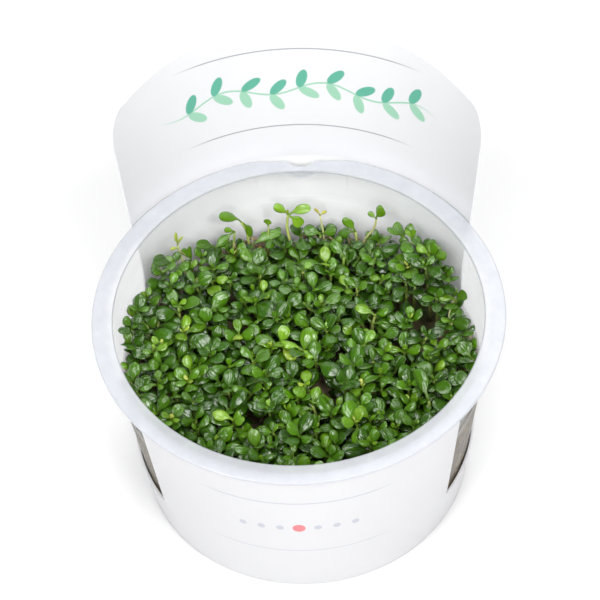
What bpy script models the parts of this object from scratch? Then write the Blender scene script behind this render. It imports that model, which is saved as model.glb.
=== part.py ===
# A growing cup of glossostigma: a clear cup, its card sleeve, the root mat and a carpet of small plantlets.
# Lengths are in metres. Z is up, the cup's axis is the Z axis, and the card's header panel stands at +Y.

import math
import random

import bmesh
import bpy
from mathutils import Vector
from mathutils.bvhtree import BVHTree

mm = 0.001

# Clearance between pieces that touch
touching_gap = 0.3 * mm

# Cup, as outer radii and heights from the table up
cup_height = 57.6 * mm
foot_radius = 40.3 * mm
foot_rounding = 0.8 * mm
wall_radius_at_foot = 41.1 * mm
wall_radius_below_step = 45.7 * mm
step_height = 46.4 * mm
step_rise = 0.8 * mm
collar_radius_at_step = 45.9 * mm
collar_radius_at_rim = 46.2 * mm
wall_thickness = 1.0 * mm
floor_thickness = 1.2 * mm
rim_radius = 49.6 * mm
rim_thickness = 0.9 * mm
rim_opening_radius = 44.5 * mm
lip_rounding = 0.5 * mm
rim_flat_distance = 48.0 * mm
rim_notch_radius = 4.45 * mm
rim_notch_depth = 1.7 * mm
inner_step_drop = 0.2 * mm
cut_depth = 6.0 * mm
cut_width = 60.0 * mm
cut_height = 8.0 * mm
cup_segments = 48
notch_segments = 24

# Card sleeve, as inner radii
card_thickness = 0.5 * mm
card_bottom = 0.5 * mm
card_radius_at_bottom = 41.4 * mm
band_height = 14.0 * mm
panel_top = 55.7 * mm
card_radius_at_panel_top = 47.0 * mm
card_radius_behind_rim = 50.4 * mm
panel_half_angle_low = math.radians(53.9)
panel_half_angle_high = math.radians(52.3)
panel_turn = math.radians(1.4)
header_half_angle = math.radians(56.6)
header_side_height = 20.0 * mm
header_corner_height = 32.0 * mm
header_height = 39.6 * mm
header_side_half_angle = math.radians(54.4)
header_corner_half_angle = math.radians(47.0)
panel_columns = 18
window_level_share = 0.35
window_squareness = 2.6
window_shares = (0.0, 0.12, 0.24, 0.35, 0.48, 0.60, 0.72, 0.82, 0.90, 0.96, 0.99)
header_columns = 14

# Root mat
mat_top = 27.5 * mm
mat_bumps = 1.0 * mm
mat_ridge_depth = 0.35 * mm
mat_ridges_around = 11.0
mat_ridges_per_metre = 240.0
mat_foot_inset = 0.6 * mm
mat_wall_inset = 0.2 * mm
mat_segments = 36
mat_levels = (0.0, 0.36, 0.70, 1.0)
mat_rings = (0.66, 0.33)

# Plantlets of the carpet, spread evenly over the mat in a spiral
plantlet_count = 48
plantlet_spread = 38.6 * mm
plantlet_room = 5.0 * mm
golden_angle = math.pi * (3.0 - math.sqrt(5.0))
stem_width = 1.0 * mm
stem_lean = 1.4 * mm
canopy_height = 38.0 * mm
canopy_fall_to_right = 0.06
canopy_fall_to_back = 0.05
canopy_unevenness = 1.3 * mm
leaf_seed = 20
leaf_tries = 60
leaf_wall_gap = 1.5 * touching_gap
leaf_mat_gap = 2.2 * mat_bumps

# Each whorl of two leaves: its place on the stem, leaf length, blade width, and rise at both ends
whorls = (
    {"from_top": 0.0, "length": 7.2 * mm, "width": 5.2 * mm, "rise": (60.0, 10.0)},
    {"from_top": 1.7 * mm, "length": 8.6 * mm, "width": 6.0 * mm, "rise": (46.0, -4.0)},
    {"from_top": 3.4 * mm, "length": 9.0 * mm, "width": 6.2 * mm, "rise": (36.0, -14.0)},
)
whorl_height = 1.5 * mm
leaf_thickness = 0.8 * mm
blade_stations = ((0.46, 0.94), (0.80, 0.86), (1.0, 0.0))
base_inset = 0.92

# How leaves of one whorl differ. A leaf that finds no room is tried again, smaller and turned further
leaf_size_range = (0.86, 1.1)
leaf_shrink = 0.28
leaf_swing = 14.0
leaf_swing_growth = 2.4
leaf_tilt = 12.0
leaf_tilt_growth = 1.6
leaf_width_range = (0.92, 1.06)
leaf_cup_range = (-0.10, 0.12)

# Tall sprigs that stand along the wall: foot and top of each stem
sprigs = {
    "sprig_back": ((-1.9, 36.8), (-2.6, 40.3), 44.6),
    "sprig_back_left": ((-14.3, 35.0), (-15.6, 38.2), 43.2),
    "sprig_left_tall": ((-28.2, 25.4), (-31.0, 28.6), 48.2),
    "sprig_left": ((-32.2, 19.8), (-35.0, 22.6), 43.6),
    "sprig_far_left": ((-37.8, 6.2), (-40.4, 8.2), 44.2),
    "sprig_back_right": ((15.8, 34.6), (17.6, 38.2), 45.4),
    "sprig_right_high": ((26.0, 27.6), (28.0, 30.8), 43.6),
    "sprig_right": ((34.6, 16.0), (37.6, 18.6), 41.6),
    "sprig_far_right": ((37.8, 5.6), (39.0, 7.6), 39.8),
}


def clear_scene():
    for thing in list(bpy.data.objects):
        bpy.data.objects.remove(thing, do_unlink=True)


def plain_material(name, color, roughness, transmission=0.0):
    material = bpy.data.materials.new(name)
    material.use_nodes = True
    shader = material.node_tree.nodes["Principled BSDF"]
    shader.inputs["Base Color"].default_value = (*color, 1.0)
    shader.inputs["Roughness"].default_value = roughness
    shader.inputs["Metallic"].default_value = 0.0
    shader.inputs["Transmission Weight"].default_value = transmission
    return material


def add_object(name, points, faces, material, smooth_angle=40.0):
    mesh = bpy.data.meshes.new(name)
    mesh.from_pydata([tuple(point) for point in points], [], faces)
    shell = bmesh.new()
    shell.from_mesh(mesh)
    bmesh.ops.triangulate(shell, faces=shell.faces)
    bmesh.ops.recalc_face_normals(shell, faces=shell.faces)
    if shell.calc_volume(signed=True) < 0.0:
        bmesh.ops.reverse_faces(shell, faces=shell.faces)
    shell.to_mesh(mesh)
    shell.free()
    mesh.materials.append(material)
    mesh.shade_smooth()
    mesh.set_sharp_from_angle(angle=math.radians(smooth_angle))
    thing = bpy.data.objects.new(name, mesh)
    bpy.context.scene.collection.objects.link(thing)
    return thing


def turned_solid(profile, segments):
    """Points and faces of a closed profile turned about Z. The first and last points lie on the axis."""
    points = [(0.0, 0.0, profile[0][1])]
    for radius, height in profile[1:-1]:
        for step in range(segments):
            angle = 2.0 * math.pi * step / segments
            points.append((radius * math.cos(angle), radius * math.sin(angle), height))
    points.append((0.0, 0.0, profile[-1][1]))
    rings = len(profile) - 2
    last = len(points) - 1
    faces = []
    for step in range(segments):
        after = (step + 1) % segments
        faces.append((0, 1 + after, 1 + step))
        for ring in range(rings - 1):
            low = 1 + ring * segments
            high = low + segments
            faces.append((low + step, low + after, high + after, high + step))
        top = 1 + (rings - 1) * segments
        faces.append((top + step, top + after, last))
    return points, faces


def between(low, high, share):
    return low + (high - low) * share


def cup_inner_radius(height):
    """Inner radius of the cup at a height above its floor."""
    if height > step_height + step_rise:
        share = (height - step_height - step_rise) / (cup_height - step_height - step_rise)
        return between(collar_radius_at_step, collar_radius_at_rim, share) - wall_thickness
    share = height / step_height
    return between(wall_radius_at_foot, wall_radius_below_step, min(share, 1.0)) - wall_thickness


def hidden_cutter(name, thing):
    thing.name = name
    thing.hide_render = True
    thing.display_type = "WIRE"
    return thing


def cut_away(thing, cutter):
    cut = thing.modifiers.new(cutter.name, "BOOLEAN")
    cut.operation = "DIFFERENCE"
    cut.solver = "EXACT"
    cut.object = cutter


def make_cup():
    step_top = step_height + step_rise
    rim_underside = cup_height - rim_thickness
    profile = [
        (0.0, 0.0),
        (foot_radius, 0.0),
        (wall_radius_at_foot, foot_rounding),
        (wall_radius_below_step, step_height),
        (collar_radius_at_step, step_top),
        (collar_radius_at_rim, rim_underside),
        (rim_radius, rim_underside),
        (rim_radius, cup_height),
        (rim_opening_radius + lip_rounding, cup_height),
        (rim_opening_radius, cup_height - lip_rounding),
        (collar_radius_at_step - wall_thickness, step_top - inner_step_drop),
        (wall_radius_below_step - wall_thickness, step_height - inner_step_drop),
        (wall_radius_at_foot - wall_thickness, floor_thickness + foot_rounding),
        (foot_radius - wall_thickness, floor_thickness),
        (0.0, floor_thickness),
    ]
    points, faces = turned_solid(profile, cup_segments)
    plastic = plain_material("clear frosted plastic", (0.86, 0.90, 0.94), 0.25, 0.6)
    cup = add_object("cup", points, faces, plastic)

    # The flange is cut straight behind, where the header panel stands, with a small notch in the cut
    slab_centre = rim_flat_distance + cut_depth / 2.0
    bpy.ops.mesh.primitive_cube_add(size=1.0, location=(0.0, slab_centre, cup_height))
    flat = hidden_cutter("rim_flat_cutter", bpy.context.object)
    flat.scale = (cut_width, cut_depth, cut_height)
    cut_away(cup, flat)
    notch_centre = rim_flat_distance - rim_notch_depth + rim_notch_radius
    bpy.ops.mesh.primitive_cylinder_add(
        vertices=notch_segments,
        radius=rim_notch_radius,
        depth=cut_height,
        location=(0.0, notch_centre, cup_height),
    )
    cut_away(cup, hidden_cutter("rim_notch_cutter", bpy.context.object))
    return cup


def card_inner_radius(height, behind):
    """Inner radius of the card. The header side flares outward above the band, to pass behind the rim."""
    if behind and height > band_height:
        start = card_inner_radius(band_height, False)
        slope = (card_radius_behind_rim - start) / (cup_height - band_height)
        return start + slope * (height - band_height)
    slope = (card_radius_at_panel_top - card_radius_at_bottom) / (panel_top - card_bottom)
    return card_radius_at_bottom + slope * (height - card_bottom)


def card_point(angle_from_back, height, behind, outside):
    radius = card_inner_radius(height, behind) + (card_thickness if outside else 0.0)
    return (radius * math.sin(angle_from_back), radius * math.cos(angle_from_back), height)


def header_outline():
    """Right half of the header's edge, from the rim to the middle: angle from the back and height."""
    outline = []
    side_steps = 2
    for step in range(side_steps + 1):
        share = step / side_steps
        angle = between(header_half_angle, header_side_half_angle, share)
        outline.append((angle, cup_height + header_side_height * share))
    corner_steps = 4
    for step in range(1, corner_steps + 1):
        turn = math.pi / 2.0 * step / corner_steps
        angle = between(header_corner_half_angle, header_side_half_angle, math.cos(turn))
        rise = between(header_side_height, header_corner_height, math.sin(turn))
        outline.append((angle, cup_height + rise))
    half_columns = header_columns // 2
    for step in range(1, half_columns + 1):
        angle = header_corner_half_angle * (1.0 - step / half_columns)
        fall = (header_height - header_corner_height) * (angle / header_corner_half_angle) ** 2
        outline.append((angle, cup_height + header_height - fall))
    return outline


def window_outline(apex_angle):
    """Lower edge of a side window: level along the band, then turning up steeply to the header."""
    outline = []
    for share in window_shares:
        turning = max(share - window_level_share, 0.0) / (1.0 - window_level_share)
        rise = 1.0 - (1.0 - turning ** window_squareness) ** (1.0 / window_squareness)
        angle = between(apex_angle, header_half_angle, share)
        outline.append((angle, between(band_height, cup_height, rise)))
    return outline


def make_card_sleeve():
    right_apex = math.pi - panel_half_angle_low - panel_turn
    left_apex = math.pi - panel_half_angle_low + panel_turn
    rear = window_outline(right_apex) + header_outline()
    left = window_outline(left_apex) + header_outline()[:-1]
    rear += [(-angle, height) for angle, height in reversed(left)]

    panel = []
    for column in range(panel_columns + 1):
        share = 2.0 * column / panel_columns - 1.0
        low = -math.pi - panel_turn - share * panel_half_angle_low
        high = -math.pi - panel_turn - share * panel_half_angle_high
        panel.append((low, high))
    panel.reverse()

    points = []
    lookup = {}

    def corner(angle, height, behind, outside):
        key = (round(math.sin(angle), 6), round(math.cos(angle), 6), round(height, 7), outside)
        if key not in lookup:
            lookup[key] = len(points)
            points.append(card_point(angle, height, behind, outside))
        return lookup[key]

    faces = []

    def sheet(here_low, here_high, after_high, after_low, behind):
        for outside in (False, True):
            spots = (here_low, here_high, after_high, after_low)
            unique = list(dict.fromkeys(corner(*spot, behind, outside) for spot in spots))
            if len(unique) > 2:
                faces.append(tuple(unique if outside else reversed(unique)))

    def edge(start, end, behind):
        faces.append((
            corner(*start, behind, False), corner(*start, behind, True),
            corner(*end, behind, True), corner(*end, behind, False)))

    def band(here, after, behind):
        here_foot, here_top = (here, card_bottom), (here, band_height)
        after_foot, after_top = (after, card_bottom), (after, band_height)
        sheet(here_foot, here_top, after_top, after_foot, behind)
        edge(after_foot, here_foot, behind)

    for here, after in zip(rear, rear[1:]):
        band(here[0], after[0], True)
        sheet((here[0], band_height), here, after, (after[0], band_height), True)
        edge(here, after, True)
    for here, after in zip(panel, panel[1:]):
        here_top, after_top = (here[1], panel_top), (after[1], panel_top)
        band(here[0], after[0], False)
        sheet((here[0], band_height), here_top, after_top, (after[0], band_height), False)
        edge(here_top, after_top, False)
    edge((panel[0][0], band_height), (panel[0][1], panel_top), False)
    edge((panel[-1][1], panel_top), (panel[-1][0], band_height), False)
    card = plain_material("white card", (0.90, 0.90, 0.92), 0.45)
    return add_object("card_sleeve", points, faces, card, 50.0)


def mat_height(x, y):
    """Height of the root mat's uneven top, from two waves, about 25 mm and 12 mm long."""
    large = math.sin(260.0 * x + 1.0) * math.cos(230.0 * y)
    small = 0.5 * math.sin(520.0 * y + 410.0 * x)
    return mat_top + mat_bumps * (large + small)


def make_root_mat():
    foot = floor_thickness + touching_gap
    profile = [(0.0, foot)]
    for level in mat_levels:
        height = between(foot, mat_top, level)
        inside = cup_inner_radius(max(height - foot_rounding, 0.0))
        profile.append((inside - touching_gap - mat_ridge_depth - mat_wall_inset, height))
    profile[1] = (foot_radius - wall_thickness - touching_gap - mat_foot_inset, foot)
    edge_radius = profile[-1][0]
    profile += [(edge_radius * share, mat_top) for share in mat_rings]
    profile.append((0.0, mat_top))
    points, faces = turned_solid(profile, mat_segments)
    shaped = []
    for x, y, z in points:
        radius = math.hypot(x, y)
        on_side = foot < z and radius > edge_radius * (1.0 + mat_rings[0]) / 2.0
        if on_side:
            wave = mat_ridges_around * math.atan2(y, x) + mat_ridges_per_metre * z
            ridge = mat_ridge_depth * math.sin(wave)
            x *= 1.0 + ridge / radius
            y *= 1.0 + ridge / radius
        if z >= mat_top - 1e-6:
            z = mat_height(x, y)
        shaped.append((x, y, z))
    roots = plain_material("brown roots", (0.16, 0.12, 0.07), 0.8)
    return add_object("root_mat", shaped, faces, roots, 80.0)


def leaf_sections(leaf, swell=0.0):
    """Cross-sections of a leaf blade from its stalk outward, and its tip. Swell thickens it all round."""
    heading = Vector((math.cos(leaf["heading"]), math.sin(leaf["heading"]), 0.0))
    across = Vector((-heading.y, heading.x, 0.0))
    sections = []
    spot = leaf["foot"].copy()
    before = 0.0
    for share, width in blade_stations:
        rise = between(leaf["rise"][0], leaf["rise"][1], (before + share) / 2.0)
        ahead = heading * math.cos(rise) + Vector((0.0, 0.0, math.sin(rise)))
        up = heading * -math.sin(rise) + Vector((0.0, 0.0, math.cos(rise)))
        spot = spot + ahead * leaf["length"] * (share - before)
        before = share
        if width == 0.0:
            return sections, spot + ahead * swell
        half_width = leaf["width"] * width / 2.0 + swell
        half_thickness = leaf_thickness / 2.0 + swell
        edge_lift = up * leaf["width"] * leaf["cup"]
        sections.append((
            spot + across * half_width + edge_lift,
            spot - up * half_thickness,
            spot - across * half_width + edge_lift,
            spot + up * half_thickness))


def leaf_shell(leaf, swell):
    """A closed stand-in for the leaf, which is used to keep leaves apart."""
    sections, tip = leaf_sections(leaf, swell)
    sections.insert(0, [leaf["foot"].lerp(corner, base_inset) for corner in leaf["base"]])
    points = [point for section in sections for point in section] + [tip]
    faces = [(0, 1, 2, 3)]
    for side in range(4):
        after = (side + 1) % 4
        for low in (0, 4):
            faces.append((low + side, low + 4 + side, low + 4 + after))
            faces.append((low + side, low + 4 + after, low + after))
        faces.append((8 + side, 12, 8 + after))
    return points, faces


def stem_rings(stem):
    """Square cross-sections of a stem, from its foot to its top."""
    rings = []
    tall = stem["top"].z - stem["foot"].z
    from_top = [tall] + [whorl["from_top"] + whorl_height for whorl in reversed(whorls)] + [0.0]
    for drop in from_top:
        share = 1.0 - drop / tall
        bend = share * share
        x = between(stem["foot"].x, stem["top"].x, bend)
        y = between(stem["foot"].y, stem["top"].y, bend)
        z = between(stem["foot"].z, stem["top"].z, share)
        ring = []
        for corner in range(4):
            angle = stem["turn"] + math.pi / 4.0 + math.pi / 2.0 * corner
            reach = stem_width / math.sqrt(2.0)
            ring.append(Vector((x + reach * math.cos(angle), y + reach * math.sin(angle), z)))
        rings.append(ring)
    return rings


def stem_shell(rings):
    points = [point for ring in rings for point in ring]
    faces = []
    for level in range(len(rings) - 1):
        for side in range(4):
            after = (side + 1) % 4
            low = 4 * level
            faces.append((low + side, low + after, low + 4 + after, low + 4 + side))
    return points, faces


def canopy(x, y, rng):
    """Height to which a stem of the carpet grows at this place."""
    tilt = canopy_height - canopy_fall_to_right * x - canopy_fall_to_back * max(y, 0.0)
    return tilt + rng.uniform(-1.0, 1.0) * canopy_unevenness


def plan_stems(mat):
    """Feet, tops and turns of all the stems. Every stem starts just above the mat's surface."""
    corners = [point.co for point in mat.data.vertices]
    mat_tree = BVHTree.FromPolygons(corners, [face.vertices for face in mat.data.polygons])

    def stem_foot(x, y):
        heights = []
        for step_x, step_y in ((-1, -1), (-1, 1), (1, -1), (1, 1)):
            above = Vector((x + step_x * stem_width, y + step_y * stem_width, cup_height))
            heights.append(mat_tree.ray_cast(above, Vector((0.0, 0.0, -1.0)))[0].z)
        return Vector((x, y, max(heights) + touching_gap))

    rng = random.Random(leaf_seed)
    stems = {}
    for name, (foot, top, height) in sprigs.items():
        x, y = foot[0] * mm, foot[1] * mm
        stems[name] = {
            "foot": stem_foot(x, y),
            "top": Vector((top[0] * mm, top[1] * mm, height * mm)),
            "turn": math.atan2(top[1], top[0]),
        }
    number = 0
    for index in range(plantlet_count):
        radius = plantlet_spread * math.sqrt((index + 0.5) / plantlet_count)
        angle = index * golden_angle
        x, y = radius * math.cos(angle), radius * math.sin(angle)
        crowded = any(
            math.hypot(x - stem["foot"].x, y - stem["foot"].y) < plantlet_room for stem in stems.values()
        )
        lean = rng.uniform(0.0, stem_lean)
        towards = rng.uniform(0.0, 2.0 * math.pi)
        height = canopy(x, y, rng)
        turn = rng.uniform(0.0, math.pi)
        if crowded:
            continue
        number += 1
        stems["plantlet_%02d" % number] = {
            "foot": stem_foot(x, y),
            "top": Vector((x + lean * math.cos(towards), y + lean * math.sin(towards), height)),
            "turn": turn,
        }
    return stems


def inside_cup(points):
    for point in points:
        room = cup_inner_radius(point.z - foot_rounding) - leaf_wall_gap
        if math.hypot(point.x, point.y) > room:
            return False
        if point.z < mat_top + leaf_mat_gap:
            return False
    return True


def grow_leaves(stems):
    """Give each stem its pairs of leaves, top pairs first, and keep every leaf clear of the others."""
    rng = random.Random(leaf_seed + 1)
    placed = []
    for name, stem in stems.items():
        stem["rings"] = stem_rings(stem)
        stem["leaves"] = {}
        tree = BVHTree.FromPolygons(*stem_shell(stem["rings"]))
        reach = (stem["top"] - stem["foot"]).length / 2.0 + stem_width
        placed.append((name, (stem["foot"] + stem["top"]) / 2.0, reach, tree))
    for level, whorl in enumerate(whorls):
        segment = len(whorls) - level
        for name, stem in stems.items():
            for side in (level % 2, level % 2 + 2):
                low, high = stem["rings"][segment], stem["rings"][segment + 1]
                after = (side + 1) % 4
                base = [low[after], low[side], high[side], high[after]]
                foot = sum(base, Vector()) / 4.0
                outward = stem["turn"] + math.pi / 2.0 * (side + 1)
                for attempt in range(leaf_tries):
                    strain = attempt / leaf_tries
                    size = rng.uniform(*leaf_size_range) * (1.0 - leaf_shrink * strain)
                    swing = rng.uniform(-leaf_swing, leaf_swing) * (1.0 + leaf_swing_growth * strain)
                    tilt = rng.uniform(-leaf_tilt, leaf_tilt) * (1.0 + leaf_tilt_growth * strain)
                    leaf = {
                        "base": base,
                        "foot": foot,
                        "heading": outward + math.radians(swing),
                        "length": whorl["length"] * size,
                        "width": whorl["width"] * size * rng.uniform(*leaf_width_range),
                        "rise": tuple(math.radians(angle + tilt) for angle in whorl["rise"]),
                        "cup": rng.uniform(*leaf_cup_range),
                    }
                    points, faces = leaf_shell(leaf, touching_gap)
                    if not inside_cup(points[4:]):
                        continue
                    middle = (foot + points[-1]) / 2.0
                    reach = (leaf["length"] + leaf["width"]) / 2.0
                    tree = BVHTree.FromPolygons(points, faces)
                    clear = True
                    for owner, centre, reach_there, other in placed:
                        near = (centre - middle).length < reach + reach_there
                        if near and owner != name and tree.overlap(other):
                            clear = False
                            break
                    if clear:
                        own_tree = BVHTree.FromPolygons(*leaf_shell(leaf, 0.0))
                        placed.append((name + "_%d" % side, middle, reach, own_tree))
                        stem["leaves"][(segment, side)] = leaf
                        break


def make_plantlet(name, stem, material):
    points, faces = stem_shell(stem["rings"])
    top = len(stem["rings"]) - 1
    faces.append((3, 2, 1, 0))
    faces.append((4 * top, 4 * top + 1, 4 * top + 2, 4 * top + 3))
    for (segment, side), leaf in stem["leaves"].items():
        after = (side + 1) % 4
        base = (4 * segment + side, 4 * segment + after, 4 * segment + 4 + after, 4 * segment + 4 + side)
        faces.remove(base)
        sections, tip = leaf_sections(leaf)
        ring = [base[1], base[0], base[3], base[2]]
        for section in sections:
            start = len(points)
            points.extend(section)
            following = [start, start + 1, start + 2, start + 3]
            for spot in range(4):
                turn = (spot + 1) % 4
                faces.append((ring[turn], ring[spot], following[spot], following[turn]))
            ring = following
        points.append(tip)
        for spot in range(4):
            faces.append((ring[(spot + 1) % 4], ring[spot], len(points) - 1))
    return add_object(name, points, faces, material, 60.0)


def make_plants(mat):
    green = plain_material("glossy green leaf", (0.10, 0.32, 0.04), 0.3)
    stems = plan_stems(mat)
    grow_leaves(stems)
    for name, stem in stems.items():
        make_plantlet(name, stem, green)


clear_scene()
make_cup()
make_card_sleeve()
make_plants(make_root_mat())
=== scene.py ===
import math
import random

import bmesh
import bpy
import numpy as np
from mathutils import Matrix, Vector
from mathutils.bvhtree import BVHTree


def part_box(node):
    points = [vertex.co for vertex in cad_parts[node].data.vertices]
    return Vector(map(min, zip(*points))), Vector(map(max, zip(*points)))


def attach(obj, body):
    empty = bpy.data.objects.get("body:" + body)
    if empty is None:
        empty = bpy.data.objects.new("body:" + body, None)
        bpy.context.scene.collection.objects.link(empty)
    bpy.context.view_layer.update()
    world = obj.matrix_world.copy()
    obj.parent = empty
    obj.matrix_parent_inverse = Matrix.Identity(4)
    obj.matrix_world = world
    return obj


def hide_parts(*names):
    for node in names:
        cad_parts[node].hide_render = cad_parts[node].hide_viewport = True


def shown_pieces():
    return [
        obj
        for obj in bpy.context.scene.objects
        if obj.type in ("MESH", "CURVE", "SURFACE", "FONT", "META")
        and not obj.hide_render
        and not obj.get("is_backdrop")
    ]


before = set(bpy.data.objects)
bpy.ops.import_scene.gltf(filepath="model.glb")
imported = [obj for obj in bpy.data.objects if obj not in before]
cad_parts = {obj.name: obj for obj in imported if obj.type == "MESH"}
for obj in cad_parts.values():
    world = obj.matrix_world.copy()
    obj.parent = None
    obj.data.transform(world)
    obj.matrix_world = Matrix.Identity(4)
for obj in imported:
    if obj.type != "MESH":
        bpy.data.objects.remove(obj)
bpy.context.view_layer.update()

# Everything below is in metres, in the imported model's frame: the cup's axis is Z,
# and the header panel stands at +Y
mm = 0.001
scene = bpy.context.scene


# Small helpers

def between(low, high, share):
    return low + (high - low) * share


def held(value, low, high):
    return min(max(value, low), high)


def smoothStep(low, high, value):
    share = held((value - low) / (high - low), 0.0, 1.0)
    return share * share * (3.0 - 2.0 * share)


def around(radius, angle):
    return radius * math.cos(angle), radius * math.sin(angle)


def opaque(color):
    return (*color, 1.0) if isinstance(color, tuple) and len(color) == 3 else color


class Paint:
    # one material, with short names for the nodes that its colour and relief are mixed from

    def __init__(self, name, finish):
        # finish holds the sockets that are the same all over the surface
        self.material = bpy.data.materials.new(name)
        self.material.use_nodes = True
        self.tree = self.material.node_tree
        self.shader = self.tree.nodes["Principled BSDF"]
        self.place = self.node("ShaderNodeTexCoord").outputs["Object"]
        for socket, value in finish.items():
            self.shader.inputs[socket].default_value = opaque(value)

    def node(self, kind, inputs=None, **settings):
        node = self.tree.nodes.new(kind)
        for name, value in settings.items():
            setattr(node, name, value)
        for name, value in (inputs or {}).items():
            if isinstance(value, bpy.types.NodeSocket):
                self.tree.links.new(value, node.inputs[name])
            else:
                node.inputs[name].default_value = opaque(value) if kind in colorNodes else value
        return node

    def wire(self, sockets):
        for name, value in sockets.items():
            self.tree.links.new(value, self.shader.inputs[name])
        return self.material

    def calc(self, operation, first, second=0.0, clamp=False):
        inputs = {0: first, 1: second}
        return self.node("ShaderNodeMath", inputs, operation=operation, use_clamp=clamp).outputs[0]

    def times(self, first, second):
        return self.calc("MULTIPLY", first, second)

    def plus(self, first, second):
        return self.calc("ADD", first, second)

    def minus(self, first, second):
        return self.calc("SUBTRACT", first, second)

    def remap(self, value, start, end, low=0.0, high=1.0):
        inputs = {"Value": value, "From Min": start, "From Max": end, "To Min": low, "To Max": high}
        return self.node("ShaderNodeMapRange", inputs).outputs[0]

    def mix(self, share, first, second, blend="MIX"):
        inputs = {0: share, 6: first, 7: second}
        return self.node("ShaderNodeMix", inputs, data_type="RGBA", blend_type=blend).outputs[2]

    def ramp(self, share, *stops):
        ramp = self.node("ShaderNodeValToRGB", {0: share})
        elements = ramp.color_ramp.elements
        while len(elements) < len(stops):
            elements.new(0.5)
        for element, (place, color) in zip(elements, stops):
            element.position = place
            element.color = opaque(color)
        return ramp.outputs[0]

    def noise(self, size, detail=3.0, roughness=0.5, place=None):
        # size is the width of one blotch in metres
        place = self.place if place is None else place
        inputs = {"Vector": place, "Scale": 1.0 / size, "Detail": detail, "Roughness": roughness}
        return self.node("ShaderNodeTexNoise", inputs).outputs[0]

    def stretched(self, upward):
        # places for a pattern that is drawn out along the height
        inputs = {"Vector": self.place, "Scale": (1.0, 1.0, upward)}
        return self.node("ShaderNodeMapping", inputs).outputs[0]

    def axes(self):
        return self.node("ShaderNodeSeparateXYZ", {0: self.place}).outputs

    def length(self, vector):
        return self.node("ShaderNodeVectorMath", {0: vector}, operation="LENGTH").outputs["Value"]

    def attribute(self, name):
        return self.node("ShaderNodeAttribute", attribute_name=name).outputs["Fac"]

    def bump(self, height, depth, below=None):
        inputs = {"Height": height, "Strength": 1.0, "Distance": depth}
        if below is not None:
            inputs["Normal"] = below
        return self.node("ShaderNodeBump", inputs).outputs[0]

    def letLightThrough(self, share, color):
        # part of the light comes out on the far side, as through thin card or cloudy plastic
        glow = self.node("ShaderNodeBsdfTranslucent", {"Color": color}).outputs[0]
        mixed = self.node("ShaderNodeMixShader", {0: share, 1: self.shader.outputs[0], 2: glow}).outputs[0]
        self.tree.links.new(mixed, self.tree.nodes["Material Output"].inputs["Surface"])


colorNodes = ("ShaderNodeMix", "ShaderNodeBsdfTranslucent")  # these take colours, given here without alpha


def addPiece(name, points, faces, materials, faceMaterials=None, values=None, sharpAngle=180.0):
    mesh = bpy.data.meshes.new(name)
    mesh.from_pydata(np.asarray(points, float).tolist(), [], faces)
    for material in materials:
        mesh.materials.append(material)
    if faceMaterials is not None:
        mesh.polygons.foreach_set("material_index", np.asarray(faceMaterials, np.int32))
    for key, numbers in (values or {}).items():
        layer = mesh.attributes.new(key, "FLOAT", "POINT")
        layer.data.foreach_set("value", np.asarray(numbers, np.float32))
    mesh.shade_smooth()
    if sharpAngle < 180.0:
        mesh.set_sharp_from_angle(angle=math.radians(sharpAngle))
    mesh.update()
    piece = bpy.data.objects.new(name, mesh)
    scene.collection.objects.link(piece)
    return piece


def standsFor(piece, slot, *nodes):
    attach(piece, "root")
    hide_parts(*nodes)


def bridge(first, second, count, faces):
    # quads between two rings of points, given the number of the first point of each
    for step in range(count):
        after = (step + 1) % count
        faces.append((first + step, first + after, second + after, second + step))


# Camera, floor and lights

view = {
    "lens": 120.0,
    "sensor": 36.0,
    "nearest": 0.01,
    "distance": 475.8 * mm,
    "azimuth": 3.6,
    "elevation": 51.54,
    "roll": -3.4,
    "lookAt": (0.58 * mm, 0.04 * mm, 61.2 * mm),
}


def makeCamera():
    azimuth, elevation, roll = (math.radians(view[key]) for key in ("azimuth", "elevation", "roll"))
    flat = math.cos(elevation)
    back = Vector((math.sin(azimuth) * flat, -math.cos(azimuth) * flat, math.sin(elevation)))
    right = Vector((math.cos(azimuth), math.sin(azimuth), 0.0))
    up = back.cross(right)
    tilted = (
        right * math.cos(roll) + up * math.sin(roll),
        up * math.cos(roll) - right * math.sin(roll),
        back,
    )
    lens = bpy.data.cameras.new("camera")
    lens.lens = view["lens"]
    lens.sensor_width = view["sensor"]
    lens.clip_start = view["nearest"]
    eye = bpy.data.objects.new("camera", lens)
    eye.matrix_world = Matrix(tilted).transposed().to_4x4()
    eye.location = Vector(view["lookAt"]) + back * view["distance"]
    scene.collection.objects.link(eye)
    scene.camera = eye


studio = {
    "floorSize": 8.0,
    "floorFinish": {"Base Color": (0.80, 0.80, 0.80), "Roughness": 0.9, "Specular IOR Level": 0.1},
    "surround": (0.97, 0.98, 1.0),
    "surroundStrength": 0.11,
    # place, size and power of each soft light, all aimed at the middle of the cup
    "lights": {
        "softboxLeft": ((-1.15, -1.35, 1.95), (1.10, 1.10), 37.0),
        "softboxRight": ((1.20, -1.25, 1.95), (1.10, 1.10), 39.0),
        "softboxFront": ((0.00, -2.05, 1.40), (1.40, 0.80), 24.0),
        "softboxAbove": ((-0.15, 0.05, 2.50), (1.00, 1.00), 20.0),
        "softboxBehind": ((0.35, 1.30, 2.15), (1.00, 1.00), 18.0),
    },
    "aim": (0.0, 0.0, 0.04),
}


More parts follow.
